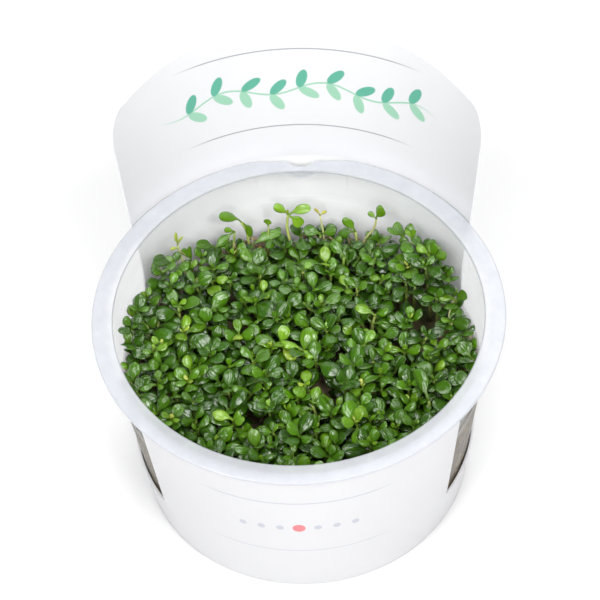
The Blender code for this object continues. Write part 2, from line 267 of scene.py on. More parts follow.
def makeStudio():
    half = studio["floorSize"] / 2.0
    corners = [(-half, -half, 0.0), (half, -half, 0.0), (half, half, 0.0), (-half, half, 0.0)]
    paper = Paint("studioFloor", studio["floorFinish"]).material
    addPiece("studioFloor", corners, [(0, 1, 2, 3)], [paper])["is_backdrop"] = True
    world = bpy.data.worlds.new("studio")
    world.use_nodes = True
    glow = world.node_tree.nodes["Background"]
    glow.inputs["Color"].default_value = opaque(studio["surround"])
    glow.inputs["Strength"].default_value = studio["surroundStrength"]
    scene.world = world
    for name, (place, size, power) in studio["lights"].items():
        lamp = bpy.data.lights.new(name, "AREA")
        lamp.shape = "RECTANGLE"
        lamp.size, lamp.size_y = size
        lamp.energy = power
        holder = bpy.data.objects.new(name, lamp)
        holder.location = place
        holder.rotation_euler = (Vector(studio["aim"]) - Vector(place)).to_track_quat("-Z", "Y").to_euler()
        scene.collection.objects.link(holder)
    scene.view_settings.view_transform = "Standard"


makeCamera()
makeStudio()
print("camera, floor and lights are in place")


# Cup, of clear plastic that is frosted by its moulding

cup = {
    "height": 57.6 * mm,
    "footRadius": 40.3 * mm,
    "footRounding": 0.8 * mm,
    "wallRadiusAtFoot": 41.1 * mm,
    "wallRadiusBelowStep": 45.7 * mm,
    "stepHeight": 46.4 * mm,
    "stepRise": 0.8 * mm,
    "innerStepDrop": 0.2 * mm,
    "collarRadiusAtStep": 45.9 * mm,
    "collarRadiusAtRim": 46.2 * mm,
    "wall": 1.0 * mm,
    "floor": 1.2 * mm,
    "rimRadius": 49.6 * mm,
    "rimThickness": 0.9 * mm,
    "openingRadius": 44.5 * mm,
    "flatDistance": 48.0 * mm,
    "notchRadius": 4.45 * mm,
    "notchDepth": 1.7 * mm,
    "segments": 216,
    "finePitch": math.radians(0.4),  # between points along the straight cut
    "fineHalfAngle": math.radians(18.0),
    # roundings of the profile's corners
    "floorCorner": 0.5 * mm,
    "heel": 0.4 * mm,
    "bend": 0.35 * mm,
    "underRimEdge": 0.30 * mm,
    "rimEdge": 0.40 * mm,
    "lip": 0.45 * mm,
    "roundingSteps": 5,
    "frostedBelowRim": 0.1 * mm,
    "sharpAngle": 50.0,
}

plastic = {
    # veil is how much of what lies behind is hidden, seen square on and along the surface
    "clearWall": {"roughness": (0.18, 0.32), "relief": 0.10 * mm, "veil": (0.04, 0.20)},
    "frostedRim": {"roughness": (0.28, 0.42), "relief": 0.08 * mm, "veil": (0.60, 0.92)},
    "ior": 1.49,
    "flow": 0.25,  # streaks and waves are drawn out along the height
    "streakSize": 6.0 * mm,
    "streakShades": (0.85, 1.15),
    "waveSize": 9.0 * mm,
    "skinSize": 0.5 * mm,
    "skinShare": 0.15,
    "cloudColor": (0.95, 0.955, 0.965),
    "cloudShare": 0.3,
    "glowShare": 0.35,
    # a thin grey line of painted shade where the flange turns down into the cup, for the darkening that
    # refraction gives at the rounded edge: its distances past the opening
    "lipShadeColor": (0.40, 0.41, 0.43),
    "lipShadeShare": 0.75,
    "lipShadeBand": (0.45 * mm, 0.15 * mm),
    # the roots painted into the wall near its edge, a painted refraction of the contents behind it: their top
    # in front and behind, and the depths of those two
    "contentsTop": (40.5 * mm, 34.5 * mm),
    "contentsDepths": (-12.0 * mm, 0.0),
    "contentsFade": 3.0 * mm,
    "contentsSlant": (0.46, 0.66),
    "contentsShare": 0.94,
    "strandSize": 2.6 * mm,
    "strandFlow": 0.35,
    "refractedRootColors": (
        (0.28, (0.085, 0.064, 0.038)),
        (0.46, (0.165, 0.130, 0.082)),
        (0.60, (0.240, 0.195, 0.130)),
        (0.74, (0.140, 0.150, 0.078)),
    ),
}


def cupInnerRadius(height):
    top = cup["stepHeight"] + cup["stepRise"]
    if height > top:
        share = (height - top) / (cup["height"] - top)
        return between(cup["collarRadiusAtStep"], cup["collarRadiusAtRim"], share) - cup["wall"]
    share = min(height / cup["stepHeight"], 1.0)
    return between(cup["wallRadiusAtFoot"], cup["wallRadiusBelowStep"], share) - cup["wall"]


def roundedProfile(corners, steps):
    # corners are (radius, height, rounding); each rounding becomes a short arc
    profile = []
    for index, (radius, height, rounding) in enumerate(corners):
        here = Vector((radius, height))
        if rounding == 0.0:
            profile.append(here)
            continue
        before = (Vector(corners[index - 1][:2]) - here).normalized()
        after = (Vector(corners[index + 1][:2]) - here).normalized()
        for step in range(steps + 1):
            share = step / steps
            start = here + before * rounding
            end = here + after * rounding
            profile.append(start.lerp(here, share).lerp(here.lerp(end, share), share))
    return profile


def rimReach(x):
    # how far back the flange goes at this x: a straight cut with a shallow round notch in its middle
    centre = cup["flatDistance"] - cup["notchDepth"] + cup["notchRadius"]
    if abs(x) < cup["notchRadius"]:
        edge = centre - math.sqrt(cup["notchRadius"] ** 2 - x * x)
        return min(edge, cup["flatDistance"])
    return cup["flatDistance"]


def makeCup():
    stepTop = cup["stepHeight"] + cup["stepRise"]
    underRim = cup["height"] - cup["rimThickness"]
    wall, drop = cup["wall"], cup["innerStepDrop"]
    profile = roundedProfile([
        (0.0, 0.0, 0.0),
        (cup["footRadius"], 0.0, cup["floorCorner"]),
        (cup["wallRadiusAtFoot"], cup["footRounding"], cup["heel"]),
        (cup["wallRadiusBelowStep"], cup["stepHeight"], cup["bend"]),
        (cup["collarRadiusAtStep"], stepTop, cup["bend"]),
        (cup["collarRadiusAtRim"], underRim, cup["bend"]),
        (cup["rimRadius"], underRim, cup["underRimEdge"]),
        (cup["rimRadius"], cup["height"], cup["rimEdge"]),
        (cup["openingRadius"], cup["height"], cup["lip"]),
        (cup["collarRadiusAtStep"] - wall, stepTop - drop, cup["bend"]),
        (cup["wallRadiusBelowStep"] - wall, cup["stepHeight"] - drop, cup["bend"]),
        (cup["wallRadiusAtFoot"] - wall, cup["floor"] + cup["footRounding"], cup["floorCorner"]),
        (cup["footRadius"] - wall, cup["floor"], cup["floorCorner"]),
        (0.0, cup["floor"], 0.0),
    ], cup["roundingSteps"])
    angles = {round(2.0 * math.pi * step / cup["segments"], 6) for step in range(cup["segments"])}
    fine = int(cup["fineHalfAngle"] / cup["finePitch"])
    angles |= {round(math.pi / 2.0 + cup["finePitch"] * step, 6) for step in range(-fine, fine + 1)}
    angles = sorted(angles)
    count = len(angles)
    points = [(0.0, 0.0, profile[0].y)]
    for radius, height in profile[1:-1]:
        for angle in angles:
            x, y = around(radius, angle)
            if radius > cup["collarRadiusAtRim"] and y > 0.0:
                y = min(y, rimReach(x) - (cup["rimRadius"] - radius if height != underRim else 0.0))
            points.append((x, y, height))
    points.append((0.0, 0.0, profile[-1].y))
    last = len(points) - 1
    top = last - count
    faces = [(0, 1 + (step + 1) % count, 1 + step) for step in range(count)]
    for low in range(1, top, count):
        bridge(low, low + count, count, faces)
    faces += [(top + step, top + (step + 1) % count, last) for step in range(count)]
    middles = [sum(points[corner][2] for corner in face) / len(face) for face in faces]
    flange = [1 if height > underRim - cup["frostedBelowRim"] else 0 for height in middles]
    materials = [clearWall(), frostedRim()]
    piece = addPiece("cupShell", points, faces, materials, flange, sharpAngle=cup["sharpAngle"])
    standsFor(piece, "clear_plastic", "cup")


def mouldedPlastic(name, finish):
    kind = plastic[name]
    paint = Paint(name, dict(finish, IOR=plastic["ior"]))
    flow = paint.stretched(plastic["flow"])
    streaks = paint.noise(plastic["streakSize"], 4.0, 0.6, flow)
    waves = paint.noise(plastic["waveSize"], 2.0, 0.4, flow)
    skin = paint.noise(plastic["skinSize"], 2.0)
    relief = paint.plus(paint.times(skin, plastic["skinShare"]), waves)
    slant = paint.node("ShaderNodeLayerWeight", {"Blend": 0.5}).outputs["Facing"]
    shade = paint.remap(streaks, 0.0, 1.0, *plastic["streakShades"])
    hidden = paint.calc("MULTIPLY", paint.remap(slant, 0.0, 1.0, *kind["veil"]), shade, True)
    share = paint.times(streaks, plastic["cloudShare"])
    color = paint.mix(share, finish["Base Color"], plastic["cloudColor"])
    paint.wire({
        "Roughness": paint.remap(streaks, 0.0, 1.0, *kind["roughness"]),
        "Normal": paint.bump(relief, kind["relief"]),
    })
    return paint, slant, hidden, color


def finishPlastic(paint, color, hidden):
    paint.letLightThrough(paint.times(hidden, plastic["glowShare"]), color)
    return paint.wire({"Base Color": color, "Alpha": hidden})


def clearWall():
    finish = {
        "Base Color": (0.93, 0.945, 0.965), "Specular IOR Level": 0.2,
        "Coat Weight": 0.15, "Coat Roughness": 0.08,
    }
    paint, slant, hidden, color = mouldedPlastic("clearWall", finish)
    # seen along the wall its plastic bends the light, so the roots inside are painted into its colour and veil
    # right out to its edge, a painted refraction
    axes = paint.axes()
    top = paint.remap(axes[1], *plastic["contentsDepths"], *plastic["contentsTop"])
    fade = plastic["contentsFade"]
    below = paint.remap(paint.minus(axes[2], top), fade, -fade)
    # painted refraction: near the silhouette and below the roots' top the wall takes the roots' colour
    refractedRoots = paint.times(below, paint.remap(slant, *plastic["contentsSlant"]))
    strands = paint.noise(plastic["strandSize"], 4.0, 0.65, paint.stretched(plastic["strandFlow"]))
    color = paint.mix(refractedRoots, color, paint.ramp(strands, *plastic["refractedRootColors"]))
    hidden = paint.calc("MAXIMUM", hidden, paint.times(refractedRoots, plastic["contentsShare"]))
    return finishPlastic(paint, color, hidden)


def frostedRim():
    finish = {"Base Color": (0.61, 0.625, 0.675), "Coat Weight": 0.4, "Coat Roughness": 0.12}
    paint, _, hidden, color = mouldedPlastic("frostedRim", finish)
    flat = paint.node("ShaderNodeVectorMath", {0: paint.place, 1: (1.0, 1.0, 0.0)}, operation="MULTIPLY")
    radius = paint.length(flat.outputs[0])
    # painted shade: a thin grey ring just past the opening, in place of the dark refraction at the lip
    line = paint.remap(radius, *(cup["openingRadius"] + past for past in plastic["lipShadeBand"]))
    color = paint.mix(paint.times(line, plastic["lipShadeShare"]), color, plastic["lipShadeColor"])
    return finishPlastic(paint, color, hidden)


makeCup()
print("cup is made")


# Card sleeve, one sheet of coated white card with a generic print

card = {
    "thickness": 0.5 * mm,
    "bottom": 0.5 * mm,
    "radiusAtBottom": 41.4 * mm,
    "bandHeight": 14.0 * mm,
    "panelTop": 55.7 * mm,
    "radiusAtPanelTop": 47.0 * mm,
    "radiusBehindRim": 50.4 * mm,
    "panelHalfAngleLow": math.radians(53.9),
    "panelHalfAngleHigh": math.radians(52.3),
    "panelTurn": math.radians(1.4),
    "headerHalfAngle": math.radians(56.6),
    "headerSideHeight": 20.0 * mm,
    "headerCornerHeight": 32.0 * mm,
    "headerHeight": 39.6 * mm,
    "headerSideHalfAngle": math.radians(54.4),
    "headerCornerHalfAngle": math.radians(47.0),
    "columnsAcrossPanel": 72,
    "columnsAlongWindow": 44,
    "windowCrowding": 1.8,  # how much closer together its columns stand towards the header
    "windowLevelShare": 0.35,
    "windowSquareness": 2.6,
    "columnsAlongSide": 12,
    "columnsRoundCorner": 16,
    "columnsAcrossHeader": 40,
    "rowsInBand": 3,
    "rowsAbove": 26,
    "sharpAngle": 45.0,
}


def cardInnerRadius(height, behind):
    if behind and height > card["bandHeight"]:
        start = cardInnerRadius(card["bandHeight"], False)
        slope = (card["radiusBehindRim"] - start) / (cup["height"] - card["bandHeight"])
        return start + slope * (height - card["bandHeight"])
    slope = (card["radiusAtPanelTop"] - card["radiusAtBottom"]) / (card["panelTop"] - card["bottom"])
    return card["radiusAtBottom"] + slope * (height - card["bottom"])


def headerOutline():
    # right half of the header's edge, from the rim to the middle: angle from the back and height
    outline = []
    for step in range(card["columnsAlongSide"] + 1):
        share = step / card["columnsAlongSide"]
        angle = between(card["headerHalfAngle"], card["headerSideHalfAngle"], share)
        outline.append((angle, cup["height"] + card["headerSideHeight"] * share))
    for step in range(1, card["columnsRoundCorner"] + 1):
        turn = math.pi / 2.0 * step / card["columnsRoundCorner"]
        angle = between(card["headerCornerHalfAngle"], card["headerSideHalfAngle"], math.cos(turn))
        rise = between(card["headerSideHeight"], card["headerCornerHeight"], math.sin(turn))
        outline.append((angle, cup["height"] + rise))
    half = card["columnsAcrossHeader"] // 2
    for step in range(1, half + 1):
        share = 1.0 - step / half
        fall = (card["headerHeight"] - card["headerCornerHeight"]) * share ** 2
        outline.append((card["headerCornerHalfAngle"] * share, cup["height"] + card["headerHeight"] - fall))
    return outline


def windowOutline(apex):
    # lower edge of a side window: level along the band, then turning up steeply to the header
    outline = []
    level, power = card["windowLevelShare"], card["windowSquareness"]
    for step in range(card["columnsAlongWindow"]):
        share = 1.0 - (1.0 - step / card["columnsAlongWindow"]) ** card["windowCrowding"]
        turning = max(share - level, 0.0) / (1.0 - level)
        rise = 1.0 - (1.0 - turning ** power) ** (1.0 / power)
        angle = between(apex, card["headerHalfAngle"], share)
        outline.append((angle, between(card["bandHeight"], cup["height"], rise)))
    return outline


def sleeveColumns():
    # columns of the sheet, behind and in front: angle at the band, angle and height at the upper edge
    apex = math.pi - card["panelHalfAngleLow"]
    right = windowOutline(apex - card["panelTurn"]) + headerOutline()
    left = windowOutline(apex + card["panelTurn"]) + headerOutline()[:-1]
    rear = [(angle, angle, height) for angle, height in right]
    rear += [(-angle, -angle, height) for angle, height in reversed(left)]
    front = []
    for column in range(card["columnsAcrossPanel"] + 1):
        share = 1.0 - 2.0 * column / card["columnsAcrossPanel"]
        low = -math.pi - card["panelTurn"] - share * card["panelHalfAngleLow"]
        high = -math.pi - card["panelTurn"] - share * card["panelHalfAngleHigh"]
        front.append((low, high, card["panelTop"]))
    return rear, front


def columnSpots(low, high, top):
    bottom, bandTop, rows = card["bottom"], card["bandHeight"], card["rowsInBand"]
    spots = [(low, between(bottom, bandTop, row / rows)) for row in range(rows)]
    for row in range(card["rowsAbove"] + 1):
        share = row / card["rowsAbove"]
        spots.append((between(low, high, share), between(bandTop, top, share)))
    return spots


def makeCard():
    points, faces, faceMaterials = [], [], []
    lookup = {}

    def corner(angle, height, behind, outside):
        key = (round(math.sin(angle), 6), round(math.cos(angle), 6), round(height, 7), outside)
        if key not in lookup:
            radius = cardInnerRadius(height, behind) + (card["thickness"] if outside else 0.0)
            lookup[key] = len(points)
            points.append((radius * math.sin(angle), radius * math.cos(angle), height))
        return lookup[key]

    def addFace(corners, material):
        unique = tuple(dict.fromkeys(corners))
        if len(unique) > 2:
            faces.append(unique)
            faceMaterials.append(material)

    def addEdge(first, second, behind):
        spots = ((first, False), (first, True), (second, True), (second, False))
        addFace([corner(*spot, behind, outside) for spot, outside in spots], 2)

    rear, front = sleeveColumns()
    for columns, behind in ((rear, True), (front, False)):
        grid = [columnSpots(*column) for column in columns]
        for here, after in zip(grid, grid[1:]):
            for row in range(len(here) - 1):
                spots = (here[row], here[row + 1], after[row + 1], after[row])
                addFace([corner(*spot, behind, True) for spot in spots], 0)
                addFace([corner(*spot, behind, False) for spot in reversed(spots)], 1)
            addEdge(here[-1], after[-1], behind)
            addEdge(after[0], here[0], behind)
        if not behind:
            for row in range(card["rowsInBand"], len(grid[0]) - 1):
                addEdge(grid[0][row], grid[0][row + 1], behind)
                addEdge(grid[-1][row + 1], grid[-1][row], behind)
    materials = [frontFace(), headerFace(), cutCard()]
    piece = addPiece("cardWrap", points, faces, materials, faceMaterials, sharpAngle=card["sharpAngle"])
    shell = bmesh.new()
    shell.from_mesh(piece.data)
    bmesh.ops.recalc_face_normals(shell, faces=shell.faces)
    shell.to_mesh(piece.data)
    shell.free()
    standsFor(piece, "white_card", "card_sleeve")


# The card's finish and print: a creeping runner with pairs of oval leaves behind, rules and dots in front

artwork = {
    "paperColors": ((0.76, 0.76, 0.785), (0.79, 0.79, 0.815)),
    "fibreSize": 0.35 * mm,
    "cloudSize": 14.0 * mm,
    "fibreShare": 0.05,
    "paperRelief": 0.12 * mm,
    "fibreRoughness": 0.12,  # added where a fibre shows
    "glowShare": 0.12,
    "glowColor": (0.92, 0.90, 0.86),
    # painted lightening of the card below the rim, against the shade behind the cup wall
    "belowRimLightening": (1.22, 1.22, 1.20),
    "lighteningTop": 2.0 * mm,  # below the rim, where the painted lightening of the card fades out
    # painted shade of the outer face, evening out the extra light that the floor throws on it
    "frontPaintedShade": (0.86, 0.86, 0.86),
    "unrollRadius": 52.0 * mm,
    "leafColor": (0.10, 0.42, 0.30),
    "paleLeafColor": (0.32, 0.60, 0.44),
    "ruleColor": (0.30, 0.31, 0.35),
    "paleRuleColor": (0.46, 0.48, 0.54),
    "dotColor": (0.72, 0.16, 0.18),
    "edgeSoftness": 0.10,
    "stripSoftness": 0.15,
    "runner": {
        "height": 78.0 * mm, "halfLength": 31.0 * mm, "width": 0.5 * mm,
        "wave": 1.6 * mm, "waveLength": 24.0 * mm,
    },
    "leafPairs": 9,
    "leafRadii": (2.7 * mm, 1.25 * mm),
    "leafTurn": math.radians(52.0),
    "leafReach": 1.05,
    # height, half length and width of each rule
    "rules": ((89.5 * mm, 26.0 * mm, 0.30 * mm), (66.8 * mm, 26.0 * mm, 0.30 * mm)),
    "frontRules": ((44.0 * mm, 24.0 * mm, 0.45 * mm), (19.5 * mm, 24.0 * mm, 0.30 * mm)),
    "frontDots": 7,
    "frontDotPitch": 5.2 * mm,
    "frontDotRadius": 1.05 * mm,
    "middleDotScale": 1.7,
    "frontDotHeight": 31.5 * mm,
}


def cardPaint(name, finish, roughness):
    paint = Paint(name, finish)
    fibres = paint.noise(artwork["fibreSize"], 5.0, 0.7)
    cloud = paint.noise(artwork["cloudSize"], 2.0, 0.4)
    relief = paint.plus(paint.times(fibres, artwork["fibreShare"]), cloud)
    paint.wire({
        "Roughness": paint.remap(fibres, 0.0, 1.0, roughness, roughness + artwork["fibreRoughness"]),
        "Normal": paint.bump(relief, artwork["paperRelief"]),
    })
    paint.letLightThrough(artwork["glowShare"], artwork["glowColor"])
    return paint, paint.mix(cloud, *artwork["paperColors"])


def unrolled(paint, fromFront):
    # place on the unrolled card: along the sheet, height, and both together
    x, y, height = paint.axes()
    if fromFront:
        y = paint.times(y, -1.0)
    along = paint.times(paint.calc("ARCTAN2", x, y), artwork["unrollRadius"])
    return along, height, paint.node("ShaderNodeCombineXYZ", {0: along, 1: height}).outputs[0]


def inkStrip(paint, distance, halfWidth):
    # 1 where the distance from the strip's middle is under its half width
    soft = artwork["stripSoftness"]
    return paint.remap(paint.calc("ABSOLUTE", distance), halfWidth * (1.0 + soft), halfWidth * (1.0 - soft))


def inkRules(paint, along, height, rules):
    masks = []
    for place, halfLength, width in rules:
        rule = inkStrip(paint, paint.minus(height, place), width / 2.0)
        masks.append(paint.times(rule, inkStrip(paint, along, halfLength)))
    return masks


def inkOval(paint, flat, centre, turn, radii):
    inputs = {"Location": (*centre, 0.0), "Rotation": (0.0, 0.0, turn), "Scale": (*radii, 1.0)}
    local = paint.node("ShaderNodeMapping", {"Vector": flat, **inputs}, vector_type="TEXTURE").outputs[0]
    soft = artwork["edgeSoftness"] / 2.0
    return paint.remap(paint.length(local), 1.0 + soft, 1.0 - soft)


def printInks(paint, color, inks):
    for masks, ink in inks:
        total = masks[0]
        for mask in masks[1:]:
            total = paint.calc("MAXIMUM", total, mask)
        color = paint.mix(total, color, ink)
    return paint.wire({"Base Color": color})


def headerFace():
    # inner face of the sheet, which is also the header's front
    finish = {"Specular IOR Level": 0.45, "Coat Weight": 0.15, "Coat Roughness": 0.25}
    paint, color = cardPaint("headerFace", finish, 0.42)
    along, height, flat = unrolled(paint, False)
    # the card below the rim is painted brighter than the header above it, a painted lightening of the shade it
    # lies in behind the cup wall
    headerShare = paint.remap(height, cup["height"] - artwork["lighteningTop"], cup["height"])
    color = paint.mix(headerShare, paint.mix(1.0, color, artwork["belowRimLightening"], "MULTIPLY"), color)
    runner = artwork["runner"]
    waveNumber = 2.0 * math.pi / runner["waveLength"]
    wave = paint.calc("SINE", paint.times(along, waveNumber))
    middle = paint.plus(paint.times(wave, runner["wave"]), runner["height"])
    line = inkStrip(paint, paint.minus(height, middle), runner["width"] / 2.0)
    line = paint.times(line, inkStrip(paint, along, runner["halfLength"]))
    dark, pale = [], [line]
    for pair in range(artwork["leafPairs"]):
        x = between(-runner["halfLength"], runner["halfLength"], (pair + 0.5) / artwork["leafPairs"])
        y = runner["height"] + runner["wave"] * math.sin(waveNumber * x)
        slope = math.atan(runner["wave"] * waveNumber * math.cos(waveNumber * x))
        for side, group in ((1.0, dark), (-1.0, pale)):
            turn = slope + side * artwork["leafTurn"]
            reach = artwork["leafRadii"][0] * artwork["leafReach"]
            aside, above = around(reach, turn)
            group.append(inkOval(paint, flat, (x + aside, y + above), turn, artwork["leafRadii"]))
    rules = inkRules(paint, along, height, artwork["rules"])
    return printInks(paint, color, (
        (rules, artwork["ruleColor"]),
        (pale, artwork["paleLeafColor"]),
        (dark, artwork["leafColor"]),
    ))


def frontFace():
    # outer face of the sheet: the front panel, the band and the header's back
    finish = {"Specular IOR Level": 0.5, "Coat Weight": 0.25, "Coat Roughness": 0.18}
    paint, color = cardPaint("frontFace", finish, 0.34)
    # painted shade: the outer face is made darker than the inner one
    color = paint.mix(1.0, color, artwork["frontPaintedShade"], "MULTIPLY")
    along, height, flat = unrolled(paint, True)
    grey, red = inkRules(paint, along, height, artwork["frontRules"]), []
    middle = artwork["frontDots"] // 2
    for dot in range(artwork["frontDots"]):
        centre = ((dot - middle) * artwork["frontDotPitch"], artwork["frontDotHeight"])
        radius = artwork["frontDotRadius"] * (artwork["middleDotScale"] if dot == middle else 1.0)
        group = red if dot == middle else grey
        group.append(inkOval(paint, flat, centre, 0.0, (radius, radius)))
    return printInks(paint, color, ((grey, artwork["paleRuleColor"]), (red, artwork["dotColor"])))


def cutCard():
    paint, color = cardPaint("cutCard", {"Specular IOR Level": 0.2}, 0.75)
    return paint.wire({"Base Color": color})


makeCard()
print("card sleeve is made")


# Tubes for roots, stems and stalks, gathered into one mesh for each piece

class Gathered:
    def __init__(self):
        self.points, self.faces, self.materials, self.values, self.count = [], [], [], {}, 0

    def add(self, points, faces, material, values):
        base = self.count
        self.points.append(points)
        self.count += len(points)
        self.faces.extend(tuple(corner + base for corner in face) for face in faces)
        self.materials.extend([material] * len(faces))
        for key, numbers in values.items():
            spread = np.broadcast_to(np.asarray(numbers, float), (len(points),))
            self.values.setdefault(key, []).append(spread)

    def piece(self, name, materials):
        values = {key: np.concatenate(numbers) for key, numbers in self.values.items()}
        return addPiece(name, np.concatenate(self.points), self.faces, materials, self.materials, values)


def smoothPath(route, steps):
    # a smooth curve through the route's points, with several points between each two
    route = [np.asarray(point, float) for point in route]
    padded = [2.0 * route[0] - route[1]] + route + [2.0 * route[-1] - route[-2]]
    path = []
    for index in range(len(route) - 1):
        p0, p1, p2, p3 = padded[index:index + 4]
        for step in range(steps):
            t = step / steps
            path.append(0.5 * (
                2.0 * p1 + (p2 - p0) * t + (2.0 * p0 - 5.0 * p1 + 4.0 * p2 - p3) * t * t
                + (3.0 * p1 - p0 - 3.0 * p2 + p3) * t ** 3))
    path.append(route[-1])
    return np.array(path)


def tube(path, radii, sides):
    # points and faces of a closed tube along a path
    path = np.asarray(path, float)
    radii = np.broadcast_to(np.asarray(radii, float), (len(path),))
    ahead = np.gradient(path, axis=0)
    ahead /= np.linalg.norm(ahead, axis=1)[:, None] + 1e-12
    across = np.cross(ahead, (0.31, 0.22, 0.92))  # any direction that no stem or root follows
    across /= np.linalg.norm(across, axis=1)[:, None] + 1e-12
    up = np.cross(across, ahead)
    turns = 2.0 * math.pi * np.arange(sides) / sides
    ring = across[:, None, :] * np.cos(turns)[None, :, None] + up[:, None, :] * np.sin(turns)[None, :, None]
    points = (path[:, None, :] + ring * radii[:, None, None]).reshape(-1, 3)
    faces = []
    for level in range(len(path) - 1):
        for side in range(sides):
            after = (side + 1) % sides
            low, high = level * sides, (level + 1) * sides
            faces.append((low + side, high + side, high + after, low + after))
    faces.append(tuple(range(sides)))
    faces.append(tuple(reversed(range((len(path) - 1) * sides, len(path) * sides))))
    return points, faces


def ringFaces(rings, size):
    # faces of a closed body made of rings of points, one above the other
    faces = []
    for level in range(rings - 1):
        bridge(level * size, (level + 1) * size, size, faces)
    faces.append(tuple(reversed(range(size))))
    faces.append(tuple(range((rings - 1) * size, rings * size)))
    return faces


# Root mat, a packed core wrapped in tangled roots

mat = {
    "foot": 1.5 * mm,
    "top": 27.5 * mm,
    "bumps": 1.0 * mm,
    "coreInset": 1.15 * mm,  # from the cup's inner wall to the core
    "coreRings": 30,
    "coreSegments": 150,
    "topRings": 22,
    "lumps": 7,
    "lumpWaves": ((9.0, 46.0), (90.0, 500.0), (0.0, 6.3)),
    "lumpDepth": 0.55 * mm,
    "lumpRidges": 11.0,
    "footTuck": 0.6 * mm,
    "footTuckHeight": 2.0 * mm,
    "topSink": 0.6 * mm,
    "topLumpDepth": 0.5 * mm,
    "coreTone": 0.25,
    "seed": 5,
    "rootRadius": (0.16 * mm, 0.42 * mm),
    "rootStep": 1.5 * mm,
    "wallRoots": 330,
    "wallRootSteps": (7, 16),
    "wallRootHeights": (3.0 * mm, 30.0 * mm),
    "wallRootLimits": (2.5 * mm, 30.3 * mm),
    "wallRootTurn": 0.5,
    "wallRootDepth": (0.35 * mm, 1.1 * mm),
    "wallRootDepthLimits": (0.30 * mm, 1.4 * mm),
    "wallRootWander": 0.22,
    "topRoots": 210,
    "topRootSteps": (5, 11),
    "topRootInset": 1.2 * mm,
    "topRootTurn": 0.6,
    "topRootLift": (-0.2, 0.6),
    "topRootLiftLimits": (-0.3 * mm, 1.6 * mm),
    "topRootWander": 0.4,
}


def matHeight(x, y):
    large = math.sin(260.0 * x + 1.0) * math.cos(230.0 * y)
    small = 0.5 * math.sin(520.0 * y + 410.0 * x)
    return mat["top"] + mat["bumps"] * (large + small)


def matCore(gathered, rng):
    # each lump is a wave round the mat and up it: how often round, how often upwards, where it starts
    waves = [tuple(rng.uniform(*ends) for ends in mat["lumpWaves"]) for _ in range(mat["lumps"])]

    def lump(angle, height):
        return sum(math.sin(often * angle + up * height + start) for often, up, start in waves) / len(waves)

    segments, ridges = mat["coreSegments"], mat["lumpRidges"]
    angles = [2.0 * math.pi * step / segments for step in range(segments)]
    points = []
    for level in range(mat["coreRings"] + 1):
        height = between(mat["foot"], mat["top"], level / mat["coreRings"])
        tuck = mat["footTuck"] * (1.0 - smoothStep(0.0, mat["footTuckHeight"], height - mat["foot"]))
        for angle in angles:
            inset = mat["coreInset"] - mat["lumpDepth"] * lump(round(angle * ridges) / ridges, height)
            points.append((*around(cupInnerRadius(height) - inset - tuck, angle), height))
    edge = cupInnerRadius(mat["top"]) - mat["coreInset"]
    for level in range(1, mat["topRings"]):
        radius = edge * (1.0 - level / mat["topRings"])
        for angle in angles:
            x, y = around(radius, angle)
            rise = mat["topLumpDepth"] * lump(angle * 2.0, radius * 6.0)
            points.append((x, y, matHeight(x, y) - mat["topSink"] + rise))
    faces = ringFaces(len(points) // segments, segments)
    gathered.add(np.array(points), faces, 0, {"rootTone": mat["coreTone"]})


def wallRoot(rng, thick):
    angle = rng.uniform(0.0, 2.0 * math.pi)
    height = rng.uniform(*mat["wallRootHeights"])
    # most roots set out downwards or upwards, some level
    heading = rng.uniform(-1.0, 1.0) + rng.choice((-math.pi / 2.0, -math.pi / 2.0, math.pi / 2.0, 0.0))
    depth = rng.uniform(*mat["wallRootDepth"])
    low, high = mat["wallRootLimits"]
    turn, wander = mat["wallRootTurn"], mat["wallRootWander"]
    path = []
    for _ in range(rng.randint(*mat["wallRootSteps"])):
        radius = cupInnerRadius(height) - thick - depth
        path.append((*around(radius, angle), height))
        heading += rng.uniform(-turn, turn)
        depth = held(depth + rng.uniform(-wander, wander) * mm, *mat["wallRootDepthLimits"])
        angle += mat["rootStep"] * math.cos(heading) / radius
        height += mat["rootStep"] * math.sin(heading)
        if not low < height < high:
            heading = -heading
            height = held(height, low, high)
    return path


def topRoot(rng):
    reach = cupInnerRadius(mat["top"]) - mat["topRootInset"]
    radius = reach * math.sqrt(rng.random())
    x, y = around(radius, rng.uniform(0.0, 2.0 * math.pi))
    heading = rng.uniform(0.0, 2.0 * math.pi)
    lift = rng.uniform(*mat["topRootLift"]) * mm
    turn, wander = mat["topRootTurn"], mat["topRootWander"]
    path = []
    for _ in range(rng.randint(*mat["topRootSteps"])):
        path.append((x, y, matHeight(x, y) + lift))
        heading += rng.uniform(-turn, turn)
        lift = held(lift + rng.uniform(-wander, wander) * mm, *mat["topRootLiftLimits"])
        x += mat["rootStep"] * math.cos(heading)
        y += mat["rootStep"] * math.sin(heading)
        if math.hypot(x, y) > reach:
            x, y = x * reach / math.hypot(x, y), y * reach / math.hypot(x, y)
    return path


def makeRootMat():
    rng = random.Random(mat["seed"])
    gathered = Gathered()
    matCore(gathered, rng)
    low, high = mat["rootRadius"]
    for number in range(mat["wallRoots"] + mat["topRoots"]):
        thick = between(low, high, rng.random() ** 2)
        alongWall = number < mat["wallRoots"]
        path = smoothPath(wallRoot(rng, thick) if alongWall else topRoot(rng), 2)
        gathered.add(*tube(path, thick, 6 if alongWall else 5), 0, {"rootTone": rng.random()})
    standsFor(gathered.piece("rootMat", [dampRoots()]), "roots", "root_mat")


